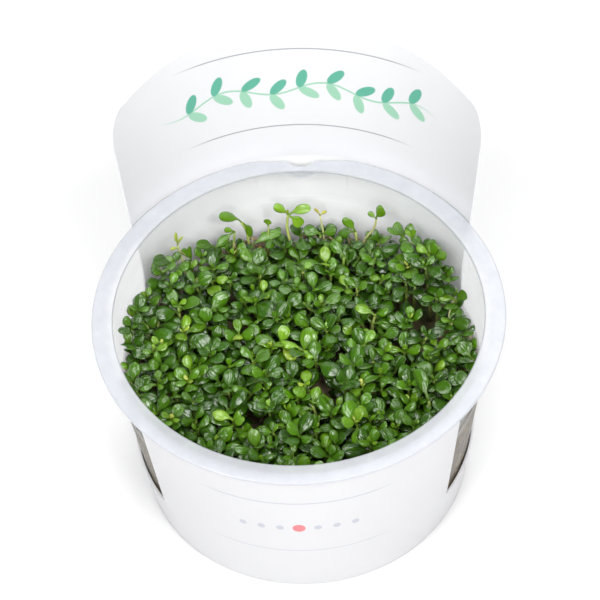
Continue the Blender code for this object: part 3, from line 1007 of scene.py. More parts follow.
def dampRoots():
    paint = Paint("dampRoots", {"Specular IOR Level": 0.4, "Coat Weight": 0.1})
    blotches = paint.noise(5.0 * mm, 4.0, 0.6)
    fine = paint.noise(0.6 * mm, 4.0, 0.6)
    share = paint.plus(paint.times(paint.attribute("rootTone"), 0.55), paint.times(blotches, 0.45))
    color = paint.ramp(
        share,
        (0.15, (0.095, 0.066, 0.034)),
        (0.38, (0.210, 0.150, 0.085)),
        (0.60, (0.340, 0.265, 0.165)),
        (0.85, (0.500, 0.420, 0.270)),
    )
    mossy = paint.remap(paint.noise(9.0 * mm, 2.0), 0.52, 0.70)
    return paint.wire({
        "Base Color": paint.mix(mossy, color, (0.085, 0.130, 0.035)),
        "Roughness": paint.remap(fine, 0.0, 1.0, 0.45, 0.85),
        "Normal": paint.bump(fine, 0.15 * mm),
    })


makeRootMat()
print("root mat is made")


# Leaves. One leaf is a closed domed blade with rounded edges, on a flat stalk of its own

leafForm = {
    "rows": (0.0, 0.12, 0.24, 0.34, 0.43, 0.53, 0.64, 0.76, 0.86, 0.93, 0.975, 1.0),
    "columns": (-1.0, -0.82, -0.52, -0.20, 0.0, 0.20, 0.52, 0.82, 1.0),
    "columnsBelow": (0.62, 0.0, -0.62),
    "stalkShare": 0.30,
    "stalkWidth": 0.80 * mm,
    "fullStalkAt": 3.2 * mm,  # leaves narrower than this have a thinner stalk
    "thickness": 0.44 * mm,
    "tipThinning": 0.35,
    "ribDepth": 0.05 * mm,
    "ribWidth": 0.16,
    "ripples": 7.0,
}


def leafWidths(leaf, shares):
    # half width along the leaf: a narrow stalk that opens into a rounded blade, widest past its middle
    blade = np.clip((shares - leafForm["stalkShare"]) / (1.0 - leafForm["stalkShare"]), 0.0, 1.0)
    spread = np.abs(2.0 * blade ** 1.12 - 1.0)
    oval = np.sqrt(np.clip(1.0 - spread ** 2.2, 0.0, 1.0)) * leaf["width"] / 2.0
    narrowing = min(1.0, leaf["width"] / leafForm["fullStalkAt"])
    stalk = leafForm["stalkWidth"] / 2.0 * (1.0 - blade ** 6) * narrowing
    return np.sqrt(oval ** 2 + stalk ** 2)


def leafPoints(leaf, shares, across, sides, swell=0.0):
    # points of the blade at shares of its length; sides is 1 on the upper face, -1 on the lower, 0 on the edge
    first, last = leaf["rise"]
    bend = last - first if abs(last - first) > 1e-4 else 1e-4
    rise = first + bend * shares
    forward = (np.sin(rise) - math.sin(first)) / bend * leaf["length"]
    upward = (math.cos(first) - np.cos(rise)) / bend * leaf["length"]
    heading = np.array((math.cos(leaf["heading"]), math.sin(leaf["heading"]), 0.0))
    sideways = np.array((-heading[1], heading[0], 0.0))
    upright = np.array((0.0, 0.0, 1.0))
    spine = leaf["foot"] + forward[:, None] * heading + upward[:, None] * upright
    spine = spine + sideways * (leaf["bow"] * leaf["length"] * shares * (1.0 - shares))[:, None]
    normal = -heading * np.sin(rise)[:, None] + upright * np.cos(rise)[:, None]
    roll = leaf["roll"] * np.clip(shares / 0.5, 0.0, 1.0)
    flatAcross = sideways * np.cos(roll)[:, None] + normal * np.sin(roll)[:, None]
    flatNormal = normal * np.cos(roll)[:, None] - sideways * np.sin(roll)[:, None]
    half = leafWidths(leaf, shares) + swell
    thinning = 1.0 - leafForm["tipThinning"] * shares
    thick = leafForm["thickness"] / 2.0 * thinning * leaf["thick"] + swell
    blade = np.clip((shares - 0.25) / 0.3, 0.0, 1.0)
    offset = np.outer(half, across)
    edge = (1.0 - np.abs(across) ** 3.0) * sides
    lift = np.outer(thick, edge) + np.outer(half * leaf["cup"] * blade, across ** 2)
    groove = np.exp(-(across / leafForm["ribWidth"]) ** 2)
    rib = leafForm["ribDepth"] * np.outer(blade * (1.0 - shares ** 4), groove)
    ripple = leaf["ripple"] * np.outer(half * blade, across ** 2 * np.sign(across))
    lift = lift - rib + ripple * np.sin(leafForm["ripples"] * shares + leaf["start"])[:, None]
    moved = flatAcross[:, None, :] * offset[:, :, None]
    return spine[:, None, :] + moved + flatNormal[:, None, :] * lift[:, :, None]


leafRows = np.array(leafForm["rows"])
upperCount = len(leafForm["columns"])
lowerCount = len(leafForm["columnsBelow"])
ringAcross = np.array(leafForm["columns"] + leafForm["columnsBelow"])
ringSides = np.concatenate(((0.0,), np.ones(upperCount - 2), (0.0,), -np.ones(lowerCount)))
ringSize = upperCount + lowerCount

bladeFaces = ringFaces(len(leafRows), ringSize)
bladeValues = {
    "leafAlong": np.repeat(leafRows, ringSize),
    "leafAcross": np.tile(ringAcross, len(leafRows)),
    "leafUnder": np.tile((ringSides < 0.0).astype(float), len(leafRows)),
}


def addLeaf(gathered, leaf):
    points = leafPoints(leaf, leafRows, ringAcross, ringSides).reshape(-1, 3)
    values = dict(bladeValues, leafTone=leaf["tone"], leafAge=leaf["age"])
    gathered.add(points, bladeFaces, 0, values)


def addStem(gathered, stem, sides=7, material=1):
    points, faces = tube(stem["path"], stem["radii"], sides)
    along = np.repeat(np.linspace(0.0, 1.0, len(stem["path"])), sides)
    values = {"leafAlong": along, "leafAcross": 0.0, "leafUnder": 0.0}
    gathered.add(points, faces, material, dict(values, leafTone=stem["tone"], leafAge=stem["age"]))


# Coarse stand-ins of leaves and stems keep the real ones clear of each other

standInRows = np.array((0.30, 0.56, 0.82, 1.0))
standInAcross = np.array((-1.0, 0.0, 1.0, 0.0))
standInSides = np.array((0.0, 1.0, 0.0, -1.0))
standInFaces = []
for row in range(3):
    for side in range(4):
        low, high, after = row * 4, (row + 1) * 4, (side + 1) % 4
        standInFaces.append((low + side, low + after, high + after))
        standInFaces.append((low + side, high + after, high + side))
standInFaces += [(0, 3, 2), (0, 2, 1)]

mostPlaced = 9000
placed = {"trees": [], "owners": [], "centres": np.zeros((mostPlaced, 3)), "reaches": np.zeros(mostPlaced)}


def standIn(leaf, swell):
    return leafPoints(leaf, standInRows, standInAcross, standInSides, swell).reshape(-1, 3)


def keepClear(points, faces, owner):
    number = len(placed["trees"])
    centre = points.mean(axis=0)
    placed["trees"].append(BVHTree.FromPolygons(points.tolist(), faces))
    placed["owners"].append(owner)
    placed["centres"][number] = centre
    placed["reaches"][number] = np.linalg.norm(points - centre, axis=1).max()


def isClear(points, faces, owner):
    number = len(placed["trees"])
    centre = points.mean(axis=0)
    reach = np.linalg.norm(points - centre, axis=1).max()
    apart = np.linalg.norm(placed["centres"][:number] - centre, axis=1)
    tree = None
    for near in np.nonzero(apart < placed["reaches"][:number] + reach)[0]:
        if placed["owners"][near] == owner:
            continue
        tree = tree or BVHTree.FromPolygons(points.tolist(), faces)
        if tree.overlap(placed["trees"][near]):
            return False
    return True


# Places of the plantlets and sprigs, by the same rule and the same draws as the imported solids

growth = {
    "seed": 20,
    "count": 48,
    "spread": 38.6 * mm,
    "room": 5.0 * mm,
    "lean": 1.4 * mm,
    "height": 38.0 * mm,
    "fallToRight": 0.06,
    "fallToBack": 0.05,
    "unevenness": 1.3 * mm,
    "goldenAngle": math.pi * (3.0 - math.sqrt(5.0)),
    "wallGap": 0.15 * mm,
    "belowMat": 1.0 * mm,  # how far a leaf may dip into the roots
}

# foot and top of each sprig, and the top's height, in millimetres
sprigPlaces = {
    "sprig_back": ((-1.9, 36.8), (-2.6, 40.3), 44.6),
    "sprig_back_left": ((-14.3, 35.0), (-15.6, 38.2), 43.2),
    "sprig_left_tall": ((-28.2, 25.4), (-31.0, 28.6), 48.2),
    "sprig_left": ((-32.2, 19.8), (-35.0, 22.6), 43.6),
    "sprig_far_left": ((-37.8, 6.2), (-40.4, 8.2), 44.2),
    "sprig_back_right": ((15.8, 34.6), (17.6, 38.2), 45.4),
    "sprig_right_high": ((26.0, 27.6), (28.0, 30.8), 43.6),
    "sprig_right": ((34.6, 16.0), (37.6, 18.6), 41.6),
    "sprig_far_right": ((37.8, 5.6), (39.0, 7.6), 39.8),
}


def insideCup(points):
    for x, y, z in points:
        if math.hypot(x, y) > cupInnerRadius(z) - growth["wallGap"] or z < mat["top"] - growth["belowMat"]:
            return False
    return True


def tooClose(x, y, others, room):
    return any(math.hypot(x - other.x, y - other.y) < room for other in others)


def canopy(x, y, rng):
    tilt = growth["height"] - growth["fallToRight"] * x - growth["fallToBack"] * max(y, 0.0)
    return tilt + rng.uniform(-1.0, 1.0) * growth["unevenness"]


def planStems():
    rng = random.Random(growth["seed"])
    stems = {}
    for name, (foot, top, height) in sprigPlaces.items():
        stems[name] = {
            "foot": Vector((foot[0] * mm, foot[1] * mm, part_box(name)[0].z)),
            "top": Vector((top[0] * mm, top[1] * mm, height * mm)),
            "turn": math.atan2(top[1], top[0]),
        }
    number = 0
    for index in range(growth["count"]):
        radius = growth["spread"] * math.sqrt((index + 0.5) / growth["count"])
        x, y = around(radius, index * growth["goldenAngle"])
        crowded = tooClose(x, y, [stem["foot"] for stem in stems.values()], growth["room"])
        lean = rng.uniform(0.0, growth["lean"])
        towards = rng.uniform(0.0, 2.0 * math.pi)
        height = canopy(x, y, rng)
        turn = rng.uniform(0.0, math.pi)
        if crowded:
            continue
        number += 1
        name = "plantlet_%02d" % number
        stems[name] = {
            "foot": Vector((x, y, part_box(name)[0].z)),
            "top": Vector((x + lean * math.cos(towards), y + lean * math.sin(towards), height)),
            "turn": turn,
        }
    return stems


# Sprigs along the wall and a few large leaves of the carpet, in millimetres.
# A stem is a route from the mat up, its radius and age.

handStems = {
    "sprig_back": (
        (((-1.9, 36.8), (-3.2, 39.4, 33.0), (-4.2, 41.2, 39.6), (-3.8, 41.8, 43.9)), 0.42, 0.80),
        (((1.5, 37.6), (2.6, 39.8, 32.0), (4.6, 40.9, 36.9)), 0.40, 0.5),
        (((4.9, 38.4), (5.2, 40.6, 36.0), (4.4, 41.8, 43.4)), 0.24, 0.9),
    ),
    "sprig_back_left": (
        (((-14.3, 35.0), (-14.2, 37.6, 31.5), (-14.3, 38.9, 35.0),
          (-14.6, 39.2, 40.5), (-15.8, 39.0, 44.6)), 0.40, 0.74),
        (((-12.6, 34.6), (-13.2, 37.4, 31.0), (-13.9, 38.9, 34.8)), 0.38, 0.72),
        (((-19.0, 33.0), (-18.6, 35.8, 33.0), (-17.6, 37.9, 42.0)), 0.34, 0.6),
        (((-9.6, 37.0), (-9.4, 39.6, 34.0), (-9.0, 40.8, 40.6)), 0.30, 0.7),
    ),
    "sprig_left_tall": (
        (((-28.2, 25.4), (-29.6, 27.2, 34.0), (-30.6, 28.6, 41.9), (-31.3, 28.2, 48.4)), 0.30, 0.88),
        (((-31.4, 24.4), (-32.2, 26.2, 38.5), (-33.0, 26.0, 43.6)), 0.40, 0.55),
        (((-28.0, 28.0), (-28.6, 30.2, 39.7)), 0.36, 0.5),
        (((-22.4, 31.5), (-22.6, 34.6, 39.2)), 0.38, 0.5),
        (((-30.6, 28.4, 44.6), (-31.9, 27.6, 41.0), (-30.6, 28.8, 37.6), (-28.9, 29.6, 36.0)), 0.13, 0.95),
        (((-31.0, 28.2, 46.4), (-29.8, 29.2, 43.0), (-30.9, 28.4, 39.4), (-32.4, 26.4, 37.6)), 0.12, 0.95),
    ),
    "sprig_left": (
        (((-32.2, 19.8), (-34.2, 21.2, 36.0), (-35.4, 22.3, 42.2)), 0.42, 0.5),
        (((-35.4, 15.0), (-37.0, 15.6, 34.0), (-38.2, 15.8, 40.6)), 0.40, 0.5),
    ),
    "sprig_far_left": (
        (((-37.8, 6.2), (-39.9, 7.4, 36.0), (-41.0, 8.4, 43.2)), 0.42, 0.6),
        (((-38.6, -0.6), (-40.2, -1.0, 35.0), (-41.0, -1.6, 40.8)), 0.40, 0.5),
    ),
    "sprig_back_right": (
        (((15.8, 34.6), (15.2, 38.2, 33.0), (15.9, 38.5, 37.4),
          (18.2, 37.8, 42.7), (18.9, 37.6, 46.8)), 0.34, 0.90),
        (((12.6, 35.0), (13.8, 38.8, 32.9), (13.5, 39.4, 39.7)), 0.38, 0.76),
        (((9.8, 30.6), (10.5, 32.2, 38.4)), 0.40, 0.5),
        (((19.0, 33.6), (19.5, 34.6, 39.0)), 0.40, 0.4),
        (((17.0, 30.8), (17.2, 32.1, 38.8)), 0.40, 0.4),
    ),
    "sprig_right_high": (
        (((26.0, 27.6), (27.2, 30.2, 38.0), (28.0, 31.3, 45.6)), 0.36, 0.66),
        (((30.6, 24.0), (32.2, 25.0, 38.0), (33.0, 25.8, 45.2)), 0.36, 0.72),
        (((24.4, 24.8), (25.1, 26.2, 38.6)), 0.40, 0.35),
        (((28.0, 20.8), (28.5, 22.1, 38.4)), 0.40, 0.35),
        (((21.6, 23.0), (22.2, 23.8, 38.8)), 0.38, 0.4),
    ),
    "sprig_right": (
        (((34.6, 16.0), (36.6, 17.0, 36.0), (38.3, 16.9, 40.9)), 0.38, 0.66),
        (((34.0, 20.0), (35.4, 21.8, 39.6)), 0.38, 0.55),
        (((38.3, 16.9, 40.9), (37.9, 15.2, 41.2), (36.9, 12.6, 39.6), (36.6, 11.2, 37.4)), 0.18, 0.93),
    ),
    "sprig_far_right": (
        (((37.8, 5.6), (37.4, 8.8, 35.0), (36.8, 10.8, 38.8)), 0.38, 0.5),
        (((36.4, 2.4), (35.4, 2.6, 38.2)), 0.44, 0.4),
    ),
    "carpet": (
        (((31.8, -13.0), (31.2, -13.2, 38.2)), 0.42, 0.6),
        (((-23.0, 14.6), (-23.4, 14.0, 38.8)), 0.40, 0.4),
    ),
}

# A leaf is its stalk's foot, its tip, width, age and roll.

handLeaves = {
    "sprig_back": (
        ((-3.8, 41.8, 43.9), (-7.4, 41.4, 47.6), 2.3, 0.72, 10),
        ((-3.8, 41.8, 43.9), (2.2, 41.7, 46.6), 2.5, 0.74, -12),
        ((-3.8, 41.8, 43.7), (-0.5, 41.0, 40.4), 2.9, 0.70, 0),
        ((-3.8, 41.8, 43.9), (-4.0, 41.6, 46.0), 0.9, 0.86, 0),
        ((4.6, 40.9, 36.9), (0.0, 40.9, 38.8), 3.2, 0.42, 20),
        ((4.6, 40.9, 36.9), (8.4, 40.0, 39.2), 2.7, 0.5, -20),
        ((4.4, 41.8, 43.4), (2.9, 41.9, 46.0), 0.8, 0.93, 0),
        ((4.4, 41.8, 43.4), (6.2, 41.6, 45.3), 0.9, 0.90, 0),
    ),
    "sprig_back_left": (
        ((-15.8, 39.0, 44.6), (-21.1, 36.6, 49.4), 2.6, 0.60, 18),
        ((-15.8, 39.0, 44.6), (-13.6, 39.2, 38.4), 2.0, 0.62, 0),
        ((-17.6, 37.9, 42.0), (-22.0, 35.2, 39.2), 2.5, 0.50, 20),
        ((-17.6, 37.9, 42.0), (-20.1, 36.8, 43.9), 1.5, 0.66, 0),
        ((-13.9, 38.9, 34.8), (-5.9, 41.0, 37.8), 2.6, 0.55, -15),
        ((-9.0, 40.8, 40.6), (-8.8, 40.8, 43.3), 2.1, 0.74, 0),
        ((-11.4, 38.2, 31.2), (-12.0, 38.6, 34.6), 2.3, 1.0, 0),
    ),
    "sprig_left_tall": (
        ((-31.3, 28.2, 48.4), (-31.4, 28.6, 52.9), 1.1, 0.84, 0),
        ((-31.3, 28.2, 48.2), (-29.7, 29.4, 50.4), 0.8, 0.84, 0),
        ((-31.2, 28.2, 47.0), (-32.9, 26.4, 48.8), 0.9, 0.86, 0),
        ((-33.0, 26.0, 43.6), (-36.9, 21.2, 49.8), 3.3, 0.34, 14),
        ((-33.0, 26.0, 43.6), (-30.6, 28.0, 45.4), 2.2, 0.42, 0),
        ((-28.6, 30.2, 39.7), (-30.6, 28.8, 45.5), 1.9, 0.55, 0),
        ((-28.6, 30.2, 39.7), (-28.6, 30.4, 45.4), 1.6, 0.60, 0),
        ((-22.6, 34.6, 39.2), (-27.1, 31.8, 44.2), 2.6, 0.48, 15),
        ((-22.6, 34.6, 39.2), (-19.2, 36.4, 41.5), 2.4, 0.52, -10),
    ),
    "sprig_left": (
        ((-35.4, 22.3, 42.2), (-38.0, 18.0, 44.4), 3.2, 0.36, 12),
        ((-35.4, 22.3, 42.2), (-32.0, 24.6, 43.6), 3.0, 0.34, -10),
        ((-35.2, 22.1, 41.4), (-32.2, 19.6, 42.6), 2.8, 0.46, 0),
        ((-38.2, 15.8, 40.6), (-40.0, 11.8, 43.0), 3.0, 0.32, 15),
        ((-38.2, 15.8, 40.6), (-35.4, 19.0, 41.6), 2.9, 0.40, 0),
    ),
    "sprig_far_left": (
        ((-41.0, 8.4, 43.2), (-42.4, 9.6, 47.8), 2.4, 0.66, 0),
        ((-41.0, 8.4, 43.2), (-38.8, 12.4, 44.6), 3.2, 0.38, 0),
        ((-40.9, 8.2, 42.4), (-41.4, 3.8, 43.6), 3.0, 0.34, 0),
        ((-40.6, 8.0, 41.0), (-36.4, 6.0, 42.4), 3.2, 0.36, 0),
        ((-41.0, -1.6, 40.8), (-41.4, -6.0, 43.0), 3.2, 0.30, 0),
        ((-41.0, -1.6, 40.8), (-40.6, 2.6, 41.6), 2.8, 0.42, 0),
    ),
    "sprig_back_right": (
        ((18.9, 37.6, 46.8), (20.8, 37.0, 51.2), 3.0, 0.62, 0),
        ((18.9, 37.6, 46.8), (16.7, 38.6, 48.0), 1.4, 0.66, 0),
        ((16.1, 38.4, 38.0), (20.8, 35.8, 39.8), 2.8, 0.44, 10),
        ((13.5, 39.4, 39.7), (10.2, 40.5, 43.6), 2.4, 0.60, 0),
        ((13.5, 39.4, 39.7), (9.0, 40.2, 37.8), 3.2, 0.46, 25),
        ((10.5, 32.2, 38.4), (6.9, 35.2, 40.0), 3.2, 0.42, 0),
        ((19.5, 34.6, 39.0), (22.4, 30.6, 40.4), 3.8, 0.34, 0),
        ((17.2, 32.1, 38.8), (16.7, 36.0, 40.4), 3.3, 0.36, 0),
    ),
    "sprig_right_high": (
        ((28.0, 31.3, 45.6), (28.9, 30.9, 49.8), 1.6, 0.66, 0),
        ((28.0, 31.3, 45.6), (26.2, 32.6, 48.2), 1.3, 0.66, 0),
        ((27.9, 31.2, 43.4), (24.6, 32.8, 44.0), 2.4, 0.44, 0),
        ((33.0, 25.8, 45.2), (33.3, 26.1, 51.0), 2.8, 0.54, 0),
        ((33.0, 25.8, 45.2), (36.2, 22.2, 49.8), 2.6, 0.60, 0),
        ((32.6, 25.4, 41.6), (29.4, 27.6, 42.6), 2.6, 0.42, 0),
        ((25.1, 26.2, 38.6), (27.1, 31.4, 41.2), 3.7, 0.30, 0),
        ((28.5, 22.1, 38.4), (28.3, 27.0, 40.8), 3.6, 0.30, 0),
        ((22.2, 23.8, 38.8), (26.1, 24.0, 40.0), 2.9, 0.40, 0),
    ),
    "sprig_right": (
        ((38.3, 16.9, 40.9), (35.4, 20.2, 40.4), 2.8, 0.52, 0),
        ((38.3, 16.9, 40.9), (41.1, 12.4, 45.6), 2.6, 0.56, 0),
        ((38.3, 16.9, 40.9), (38.6, 17.6, 43.4), 1.3, 0.70, 0),
        ((35.4, 21.8, 39.6), (37.9, 21.2, 46.0), 1.7, 0.62, 0),
        ((35.4, 21.8, 39.6), (33.0, 25.0, 42.0), 2.2, 0.50, 0),
    ),
    "sprig_far_right": (
        ((36.8, 10.8, 38.8), (41.4, 7.2, 40.6), 3.6, 0.38, 0),
        ((36.8, 10.8, 38.8), (38.6, 14.6, 40.6), 2.6, 0.46, 0),
        ((35.4, 2.6, 38.2), (31.0, -1.6, 41.2), 4.7, 0.36, 0),
        ((35.4, 2.6, 38.2), (39.4, 5.0, 40.0), 3.0, 0.44, 0),
    ),
    "carpet": (
        ((31.2, -13.2, 38.2), (27.6, -5.8, 40.8), 4.1, 0.44, 0),
        ((-23.4, 14.0, 38.8), (-18.4, 17.6, 41.0), 4.2, 0.46, 0),
        ((-23.4, 14.0, 38.8), (-27.6, 11.2, 40.8), 3.8, 0.40, 0),
    ),
}

# where one looks down to the dark between plants: place and half width, in millimetres
gaps = (((30.5, 10.7), 2.2), ((-13.0, -17.5), 1.5), ((7.0, -8.0), 1.4), ((17.5, 12.5), 1.5))

byHand = {
    "footSink": 0.4 * mm,
    "steps": 5,
    "stemTaper": (1.1, 0.85),
    "leafBend": (38.0, 58.0),
    "leafFacing": (0.75, 0.66),  # towards the middle of the cup, and up
    "mostTwist": 1.4,
    "gapHeights": (31.0, 38.0, 46.0),
}

# Shoots. Each plantlet is a clump of a main shoot and a few smaller ones around it

shootForm = {
    "seed": 31,
    "count": 176,
    "spread": 39.4 * mm,
    "jitter": 1.5 * mm,
    "room": 2.5 * mm,
    "gapRoom": 1.2 * mm,
    "wallCount": 64,
    "wallGap": 1.5 * mm,
    "unevenness": (-2.6, 1.4),
    "sizes": (0.60, 1.08),
    "pulls": (0.2, 0.5),  # how far the foot of a side shoot draws towards the foot of its plantlet
    "footSink": 0.3 * mm,
    "stemRadius": 0.40 * mm,
    "stemTaper": (1.1, 0.8),
    "stemAges": (0.2, 0.75),
    "youthSpread": 0.10,
    # each level of leaves: distance below the tip, leaf length, blade width, rise at stalk and tip, age; age
    # falls towards the lower levels, so their darker colour is partly real age and partly painted shade
    "levels": (
        {"drop": 0.0, "length": 2.6, "width": 1.5, "rise": (82.0, 46.0), "age": 0.64},
        {"drop": 0.5, "length": 5.2, "width": 3.2, "rise": (66.0, 10.0), "age": 0.48},
        {"drop": 1.8, "length": 7.0, "width": 4.3, "rise": (56.0, -8.0), "age": 0.36},
        {"drop": 3.6, "length": 7.8, "width": 4.7, "rise": (44.0, -20.0), "age": 0.22},
        {"drop": 5.8, "length": 7.4, "width": 4.5, "rise": (32.0, -20.0), "age": 0.12},
    ),
    "budShare": 0.45,
    # how leaves of one level differ; a leaf that finds no room is tried again, smaller and turned further
    "leafSizes": (0.80, 1.14),
    "leafWidths": (0.84, 1.10),
    "leafSwing": (-24.0, 24.0),
    "leafTilt": (-24.0, 26.0),
    "leafAgeSpread": 0.06,
    "leafRoom": 0.05 * mm,
    "shrink": 0.4,
    "swingGrowth": 1.8,
    "tiltGrowth": 1.2,
    "tries": 22,
    "hollowShare": 0.2,
    "hollows": (0.05, 0.28),
    "domes": (-0.60, -0.18),
    "rolls": (-26.0, 26.0),
    # where the carpet climbs the wall: direction and half angle in degrees, and height
    "climbs": ((39.0, 31.0, 10.5 * mm), (164.0, 34.0, 5.5 * mm), (5.0, 22.0, 3.0 * mm)),
    "climbFrom": (29.0 * mm, 40.0 * mm),
}

oldStem = {
    "count": 330,
    "radius": (0.22 * mm, 0.48 * mm),
    "top": (33.0 * mm, 39.0 * mm),
    "step": 2.0 * mm,
    "depth": (0.3, 2.2),
    "depthLimits": (0.2 * mm, 2.6 * mm),
    "wander": 0.3,
    "below": (1.0, 3.0),
    "lean": 0.9,
    "leanLimit": 1.1,
    "leanChange": 0.5,
}


def leafSpec(foot, heading, length, width, rise, age, rng):
    hollow = rng.random() < shootForm["hollowShare"]
    return {
        "foot": np.array(foot, float),
        "heading": heading,
        "length": length,
        "width": width,
        "rise": rise,
        "cup": rng.uniform(*shootForm["hollows" if hollow else "domes"]),
        "roll": math.radians(rng.uniform(*shootForm["rolls"])),
        "bow": rng.uniform(-0.12, 0.12),
        "ripple": rng.uniform(-0.06, 0.06),
        "start": rng.uniform(0.0, 6.3),
        "thick": rng.uniform(0.9, 1.2),
        "tone": rng.random(),
        "age": held(age, 0.0, 1.0),
    }


def leafBetween(foot, tip, width, age, roll, rng):
    # a leaf whose tip comes to rest at a given point
    foot, tip = np.array(foot) * mm, np.array(tip) * mm
    flat = math.hypot(tip[0] - foot[0], tip[1] - foot[1])
    chord = math.hypot(flat, tip[2] - foot[2])
    slope = math.atan2(tip[2] - foot[2], flat)
    bend = math.radians(rng.uniform(*byHand["leafBend"]))
    length = chord * (bend / 2.0) / math.sin(bend / 2.0)
    heading = math.atan2(tip[1] - foot[1], tip[0] - foot[0])
    rise = (slope + bend / 2.0, slope - bend / 2.0)
    leaf = leafSpec(foot, heading, length, width * mm, rise, age, rng)
    # its upper face turns up and towards the middle of the cup
    inwards, upwards = byHand["leafFacing"]
    facing = Vector((-foot[0], -foot[1], 0.0)).normalized() * inwards + Vector((0.0, 0.0, upwards))
    ahead = Vector((math.cos(heading), math.sin(heading), 0.0))
    aside = Vector((-math.sin(heading), math.cos(heading), 0.0))
    normal = Vector((0.0, 0.0, math.cos(slope))) - ahead * math.sin(slope)
    twist = math.atan2(-facing.dot(aside), facing.dot(normal))
    leaf["roll"] = held(twist, -byHand["mostTwist"], byHand["mostTwist"]) + math.radians(roll)
    leaf["bow"] = 0.0
    return leaf


def stemPath(foot, top):
    # straight up from the mat, then bending over to the top
    share = np.linspace(0.0, 1.0, 9)
    start, end = np.array(foot), np.array(top)
    flat = start[None, :2] + (end - start)[None, :2] * (share ** 2)[:, None]
    return np.column_stack((flat, between(start[2], end[2], share)))


def pathPoint(path, drop):
    # the point of the path that lies this far below its top
    height = max(path[-1][2] - drop, path[0][2])
    return np.array([np.interp(height, path[:, 2], path[:, axis]) for axis in range(3)])


def nearestStem(stems, x, y, only=""):
    names = [name for name in stems if name.startswith(only)]
    return min(names, key=lambda name: (stems[name]["top"].x - x) ** 2 + (stems[name]["top"].y - y) ** 2)


def growByHand(stems, foliage):
    rng = random.Random(shootForm["seed"] - 1)
    for name in handStems:
        for route, radius, age in handStems[name]:
            points = [tuple(value * mm for value in point) for point in route]
            if len(points[0]) == 2:
                x, y = points[0]
                points[0] = (x, y, matHeight(x, y) - byHand["footSink"])
            path = smoothPath(points, byHand["steps"])
            owner = name if name in stems else nearestStem(stems, points[0][0], points[0][1], "plantlet")
            radii = radius * mm * np.linspace(*byHand["stemTaper"], len(path))
            foliage[owner]["stems"].append({"path": path, "radii": radii, "tone": rng.random(), "age": age})
            keepClear(*tube(path[::3], radius * mm, 4), owner + "ByHand")
        for foot, tip, width, age, roll in handLeaves[name]:
            owner = name if name in stems else nearestStem(stems, foot[0] * mm, foot[1] * mm, "plantlet")
            leaf = leafBetween(foot, tip, width, age, roll, rng)
            foliage[owner]["leaves"].append(leaf)
            keepClear(standIn(leaf, 0.0), standInFaces, owner + "ByHand")
    for (x, y), half in gaps:
        path = [(x * mm, y * mm, height * mm) for height in byHand["gapHeights"]]
        keepClear(*tube(path, half * mm, 8), "gap")


def climb(x, y):
    # how much higher the carpet stands here, close to the wall
    direction = math.degrees(math.atan2(y, x))
    rise = 0.0
    for middle, half, height in shootForm["climbs"]:
        away = abs((direction - middle + 180.0) % 360.0 - 180.0) / half
        rise = max(rise, height * (1.0 - smoothStep(0.3, 1.0, away)))
    return rise * smoothStep(*shootForm["climbFrom"], math.hypot(x, y))


def planShoots(stems):
    rng = random.Random(shootForm["seed"])
    shoots = []
    for name, stem in stems.items():
        if name.startswith("plantlet"):
            shoots.append(dict(stem, owner=name, size=1.0))
    spots = []
    for index in range(shootForm["wallCount"]):
        angle = 2.0 * math.pi * (index + rng.uniform(-0.3, 0.3)) / shootForm["wallCount"]
        radius = cupInnerRadius(growth["height"]) - shootForm["wallGap"] - rng.uniform(0.0, 1.0) * mm
        spots.append((radius, angle, 0.0))
    for index in range(shootForm["count"]):
        radius = shootForm["spread"] * math.sqrt((index + 0.5) / shootForm["count"])
        spots.append((radius, index * growth["goldenAngle"] + 1.0, shootForm["jitter"]))
    for radius, angle, jitter in spots:
        x = radius * math.cos(angle) + rng.uniform(-1.0, 1.0) * jitter
        y = radius * math.sin(angle) + rng.uniform(-1.0, 1.0) * jitter
        height = canopy(x, y, rng) + rng.uniform(*shootForm["unevenness"]) * mm + climb(x, y)
        turn = rng.uniform(0.0, math.pi)
        size = rng.uniform(*shootForm["sizes"])
        pull = rng.uniform(*shootForm["pulls"])
        if tooClose(x, y, [shoot["top"] for shoot in shoots], shootForm["room"]):
            continue
        gapRoom = shootForm["gapRoom"]
        if any(math.hypot(x - gap[0] * mm, y - gap[1] * mm) < half * mm + gapRoom for gap, half in gaps):
            continue
        owner = nearestStem(stems, x, y)
        clump = stems[owner]["foot"]
        foot = Vector((between(x, clump.x, pull), between(y, clump.y, pull), 0.0))
        foot.z = matHeight(foot.x, foot.y) - shootForm["footSink"]
        top = Vector((x, y, height))
        shoots.append({"owner": owner, "foot": foot, "top": top, "turn": turn, "size": size})
    return shoots


def growLeaf(shoot, form, outward, number, rng):
    foot = pathPoint(shoot["path"], form["drop"] * mm * shoot["size"])
    for attempt in range(shootForm["tries"]):
        strain = attempt / shootForm["tries"]
        size = shoot["size"] * rng.uniform(*shootForm["leafSizes"]) * (1.0 - shootForm["shrink"] * strain)
        swing = rng.uniform(*shootForm["leafSwing"]) * (1.0 + shootForm["swingGrowth"] * strain)
        tilt = rng.uniform(*shootForm["leafTilt"]) * (1.0 + shootForm["tiltGrowth"] * strain)
        rise = tuple(math.radians(angle + tilt) for angle in form["rise"])
        width = form["width"] * size * rng.uniform(*shootForm["leafWidths"]) * mm
        age = form["age"] + shoot["youth"] + rng.gauss(0.0, shootForm["leafAgeSpread"])
        length = form["length"] * size * mm
        leaf = leafSpec(foot, outward + math.radians(swing), length, width, rise, age, rng)
        points = standIn(leaf, shootForm["leafRoom"])
        if insideCup(points) and isClear(points, standInFaces, number):
            keepClear(standIn(leaf, 0.0), standInFaces, number)
            return [leaf]
    return []


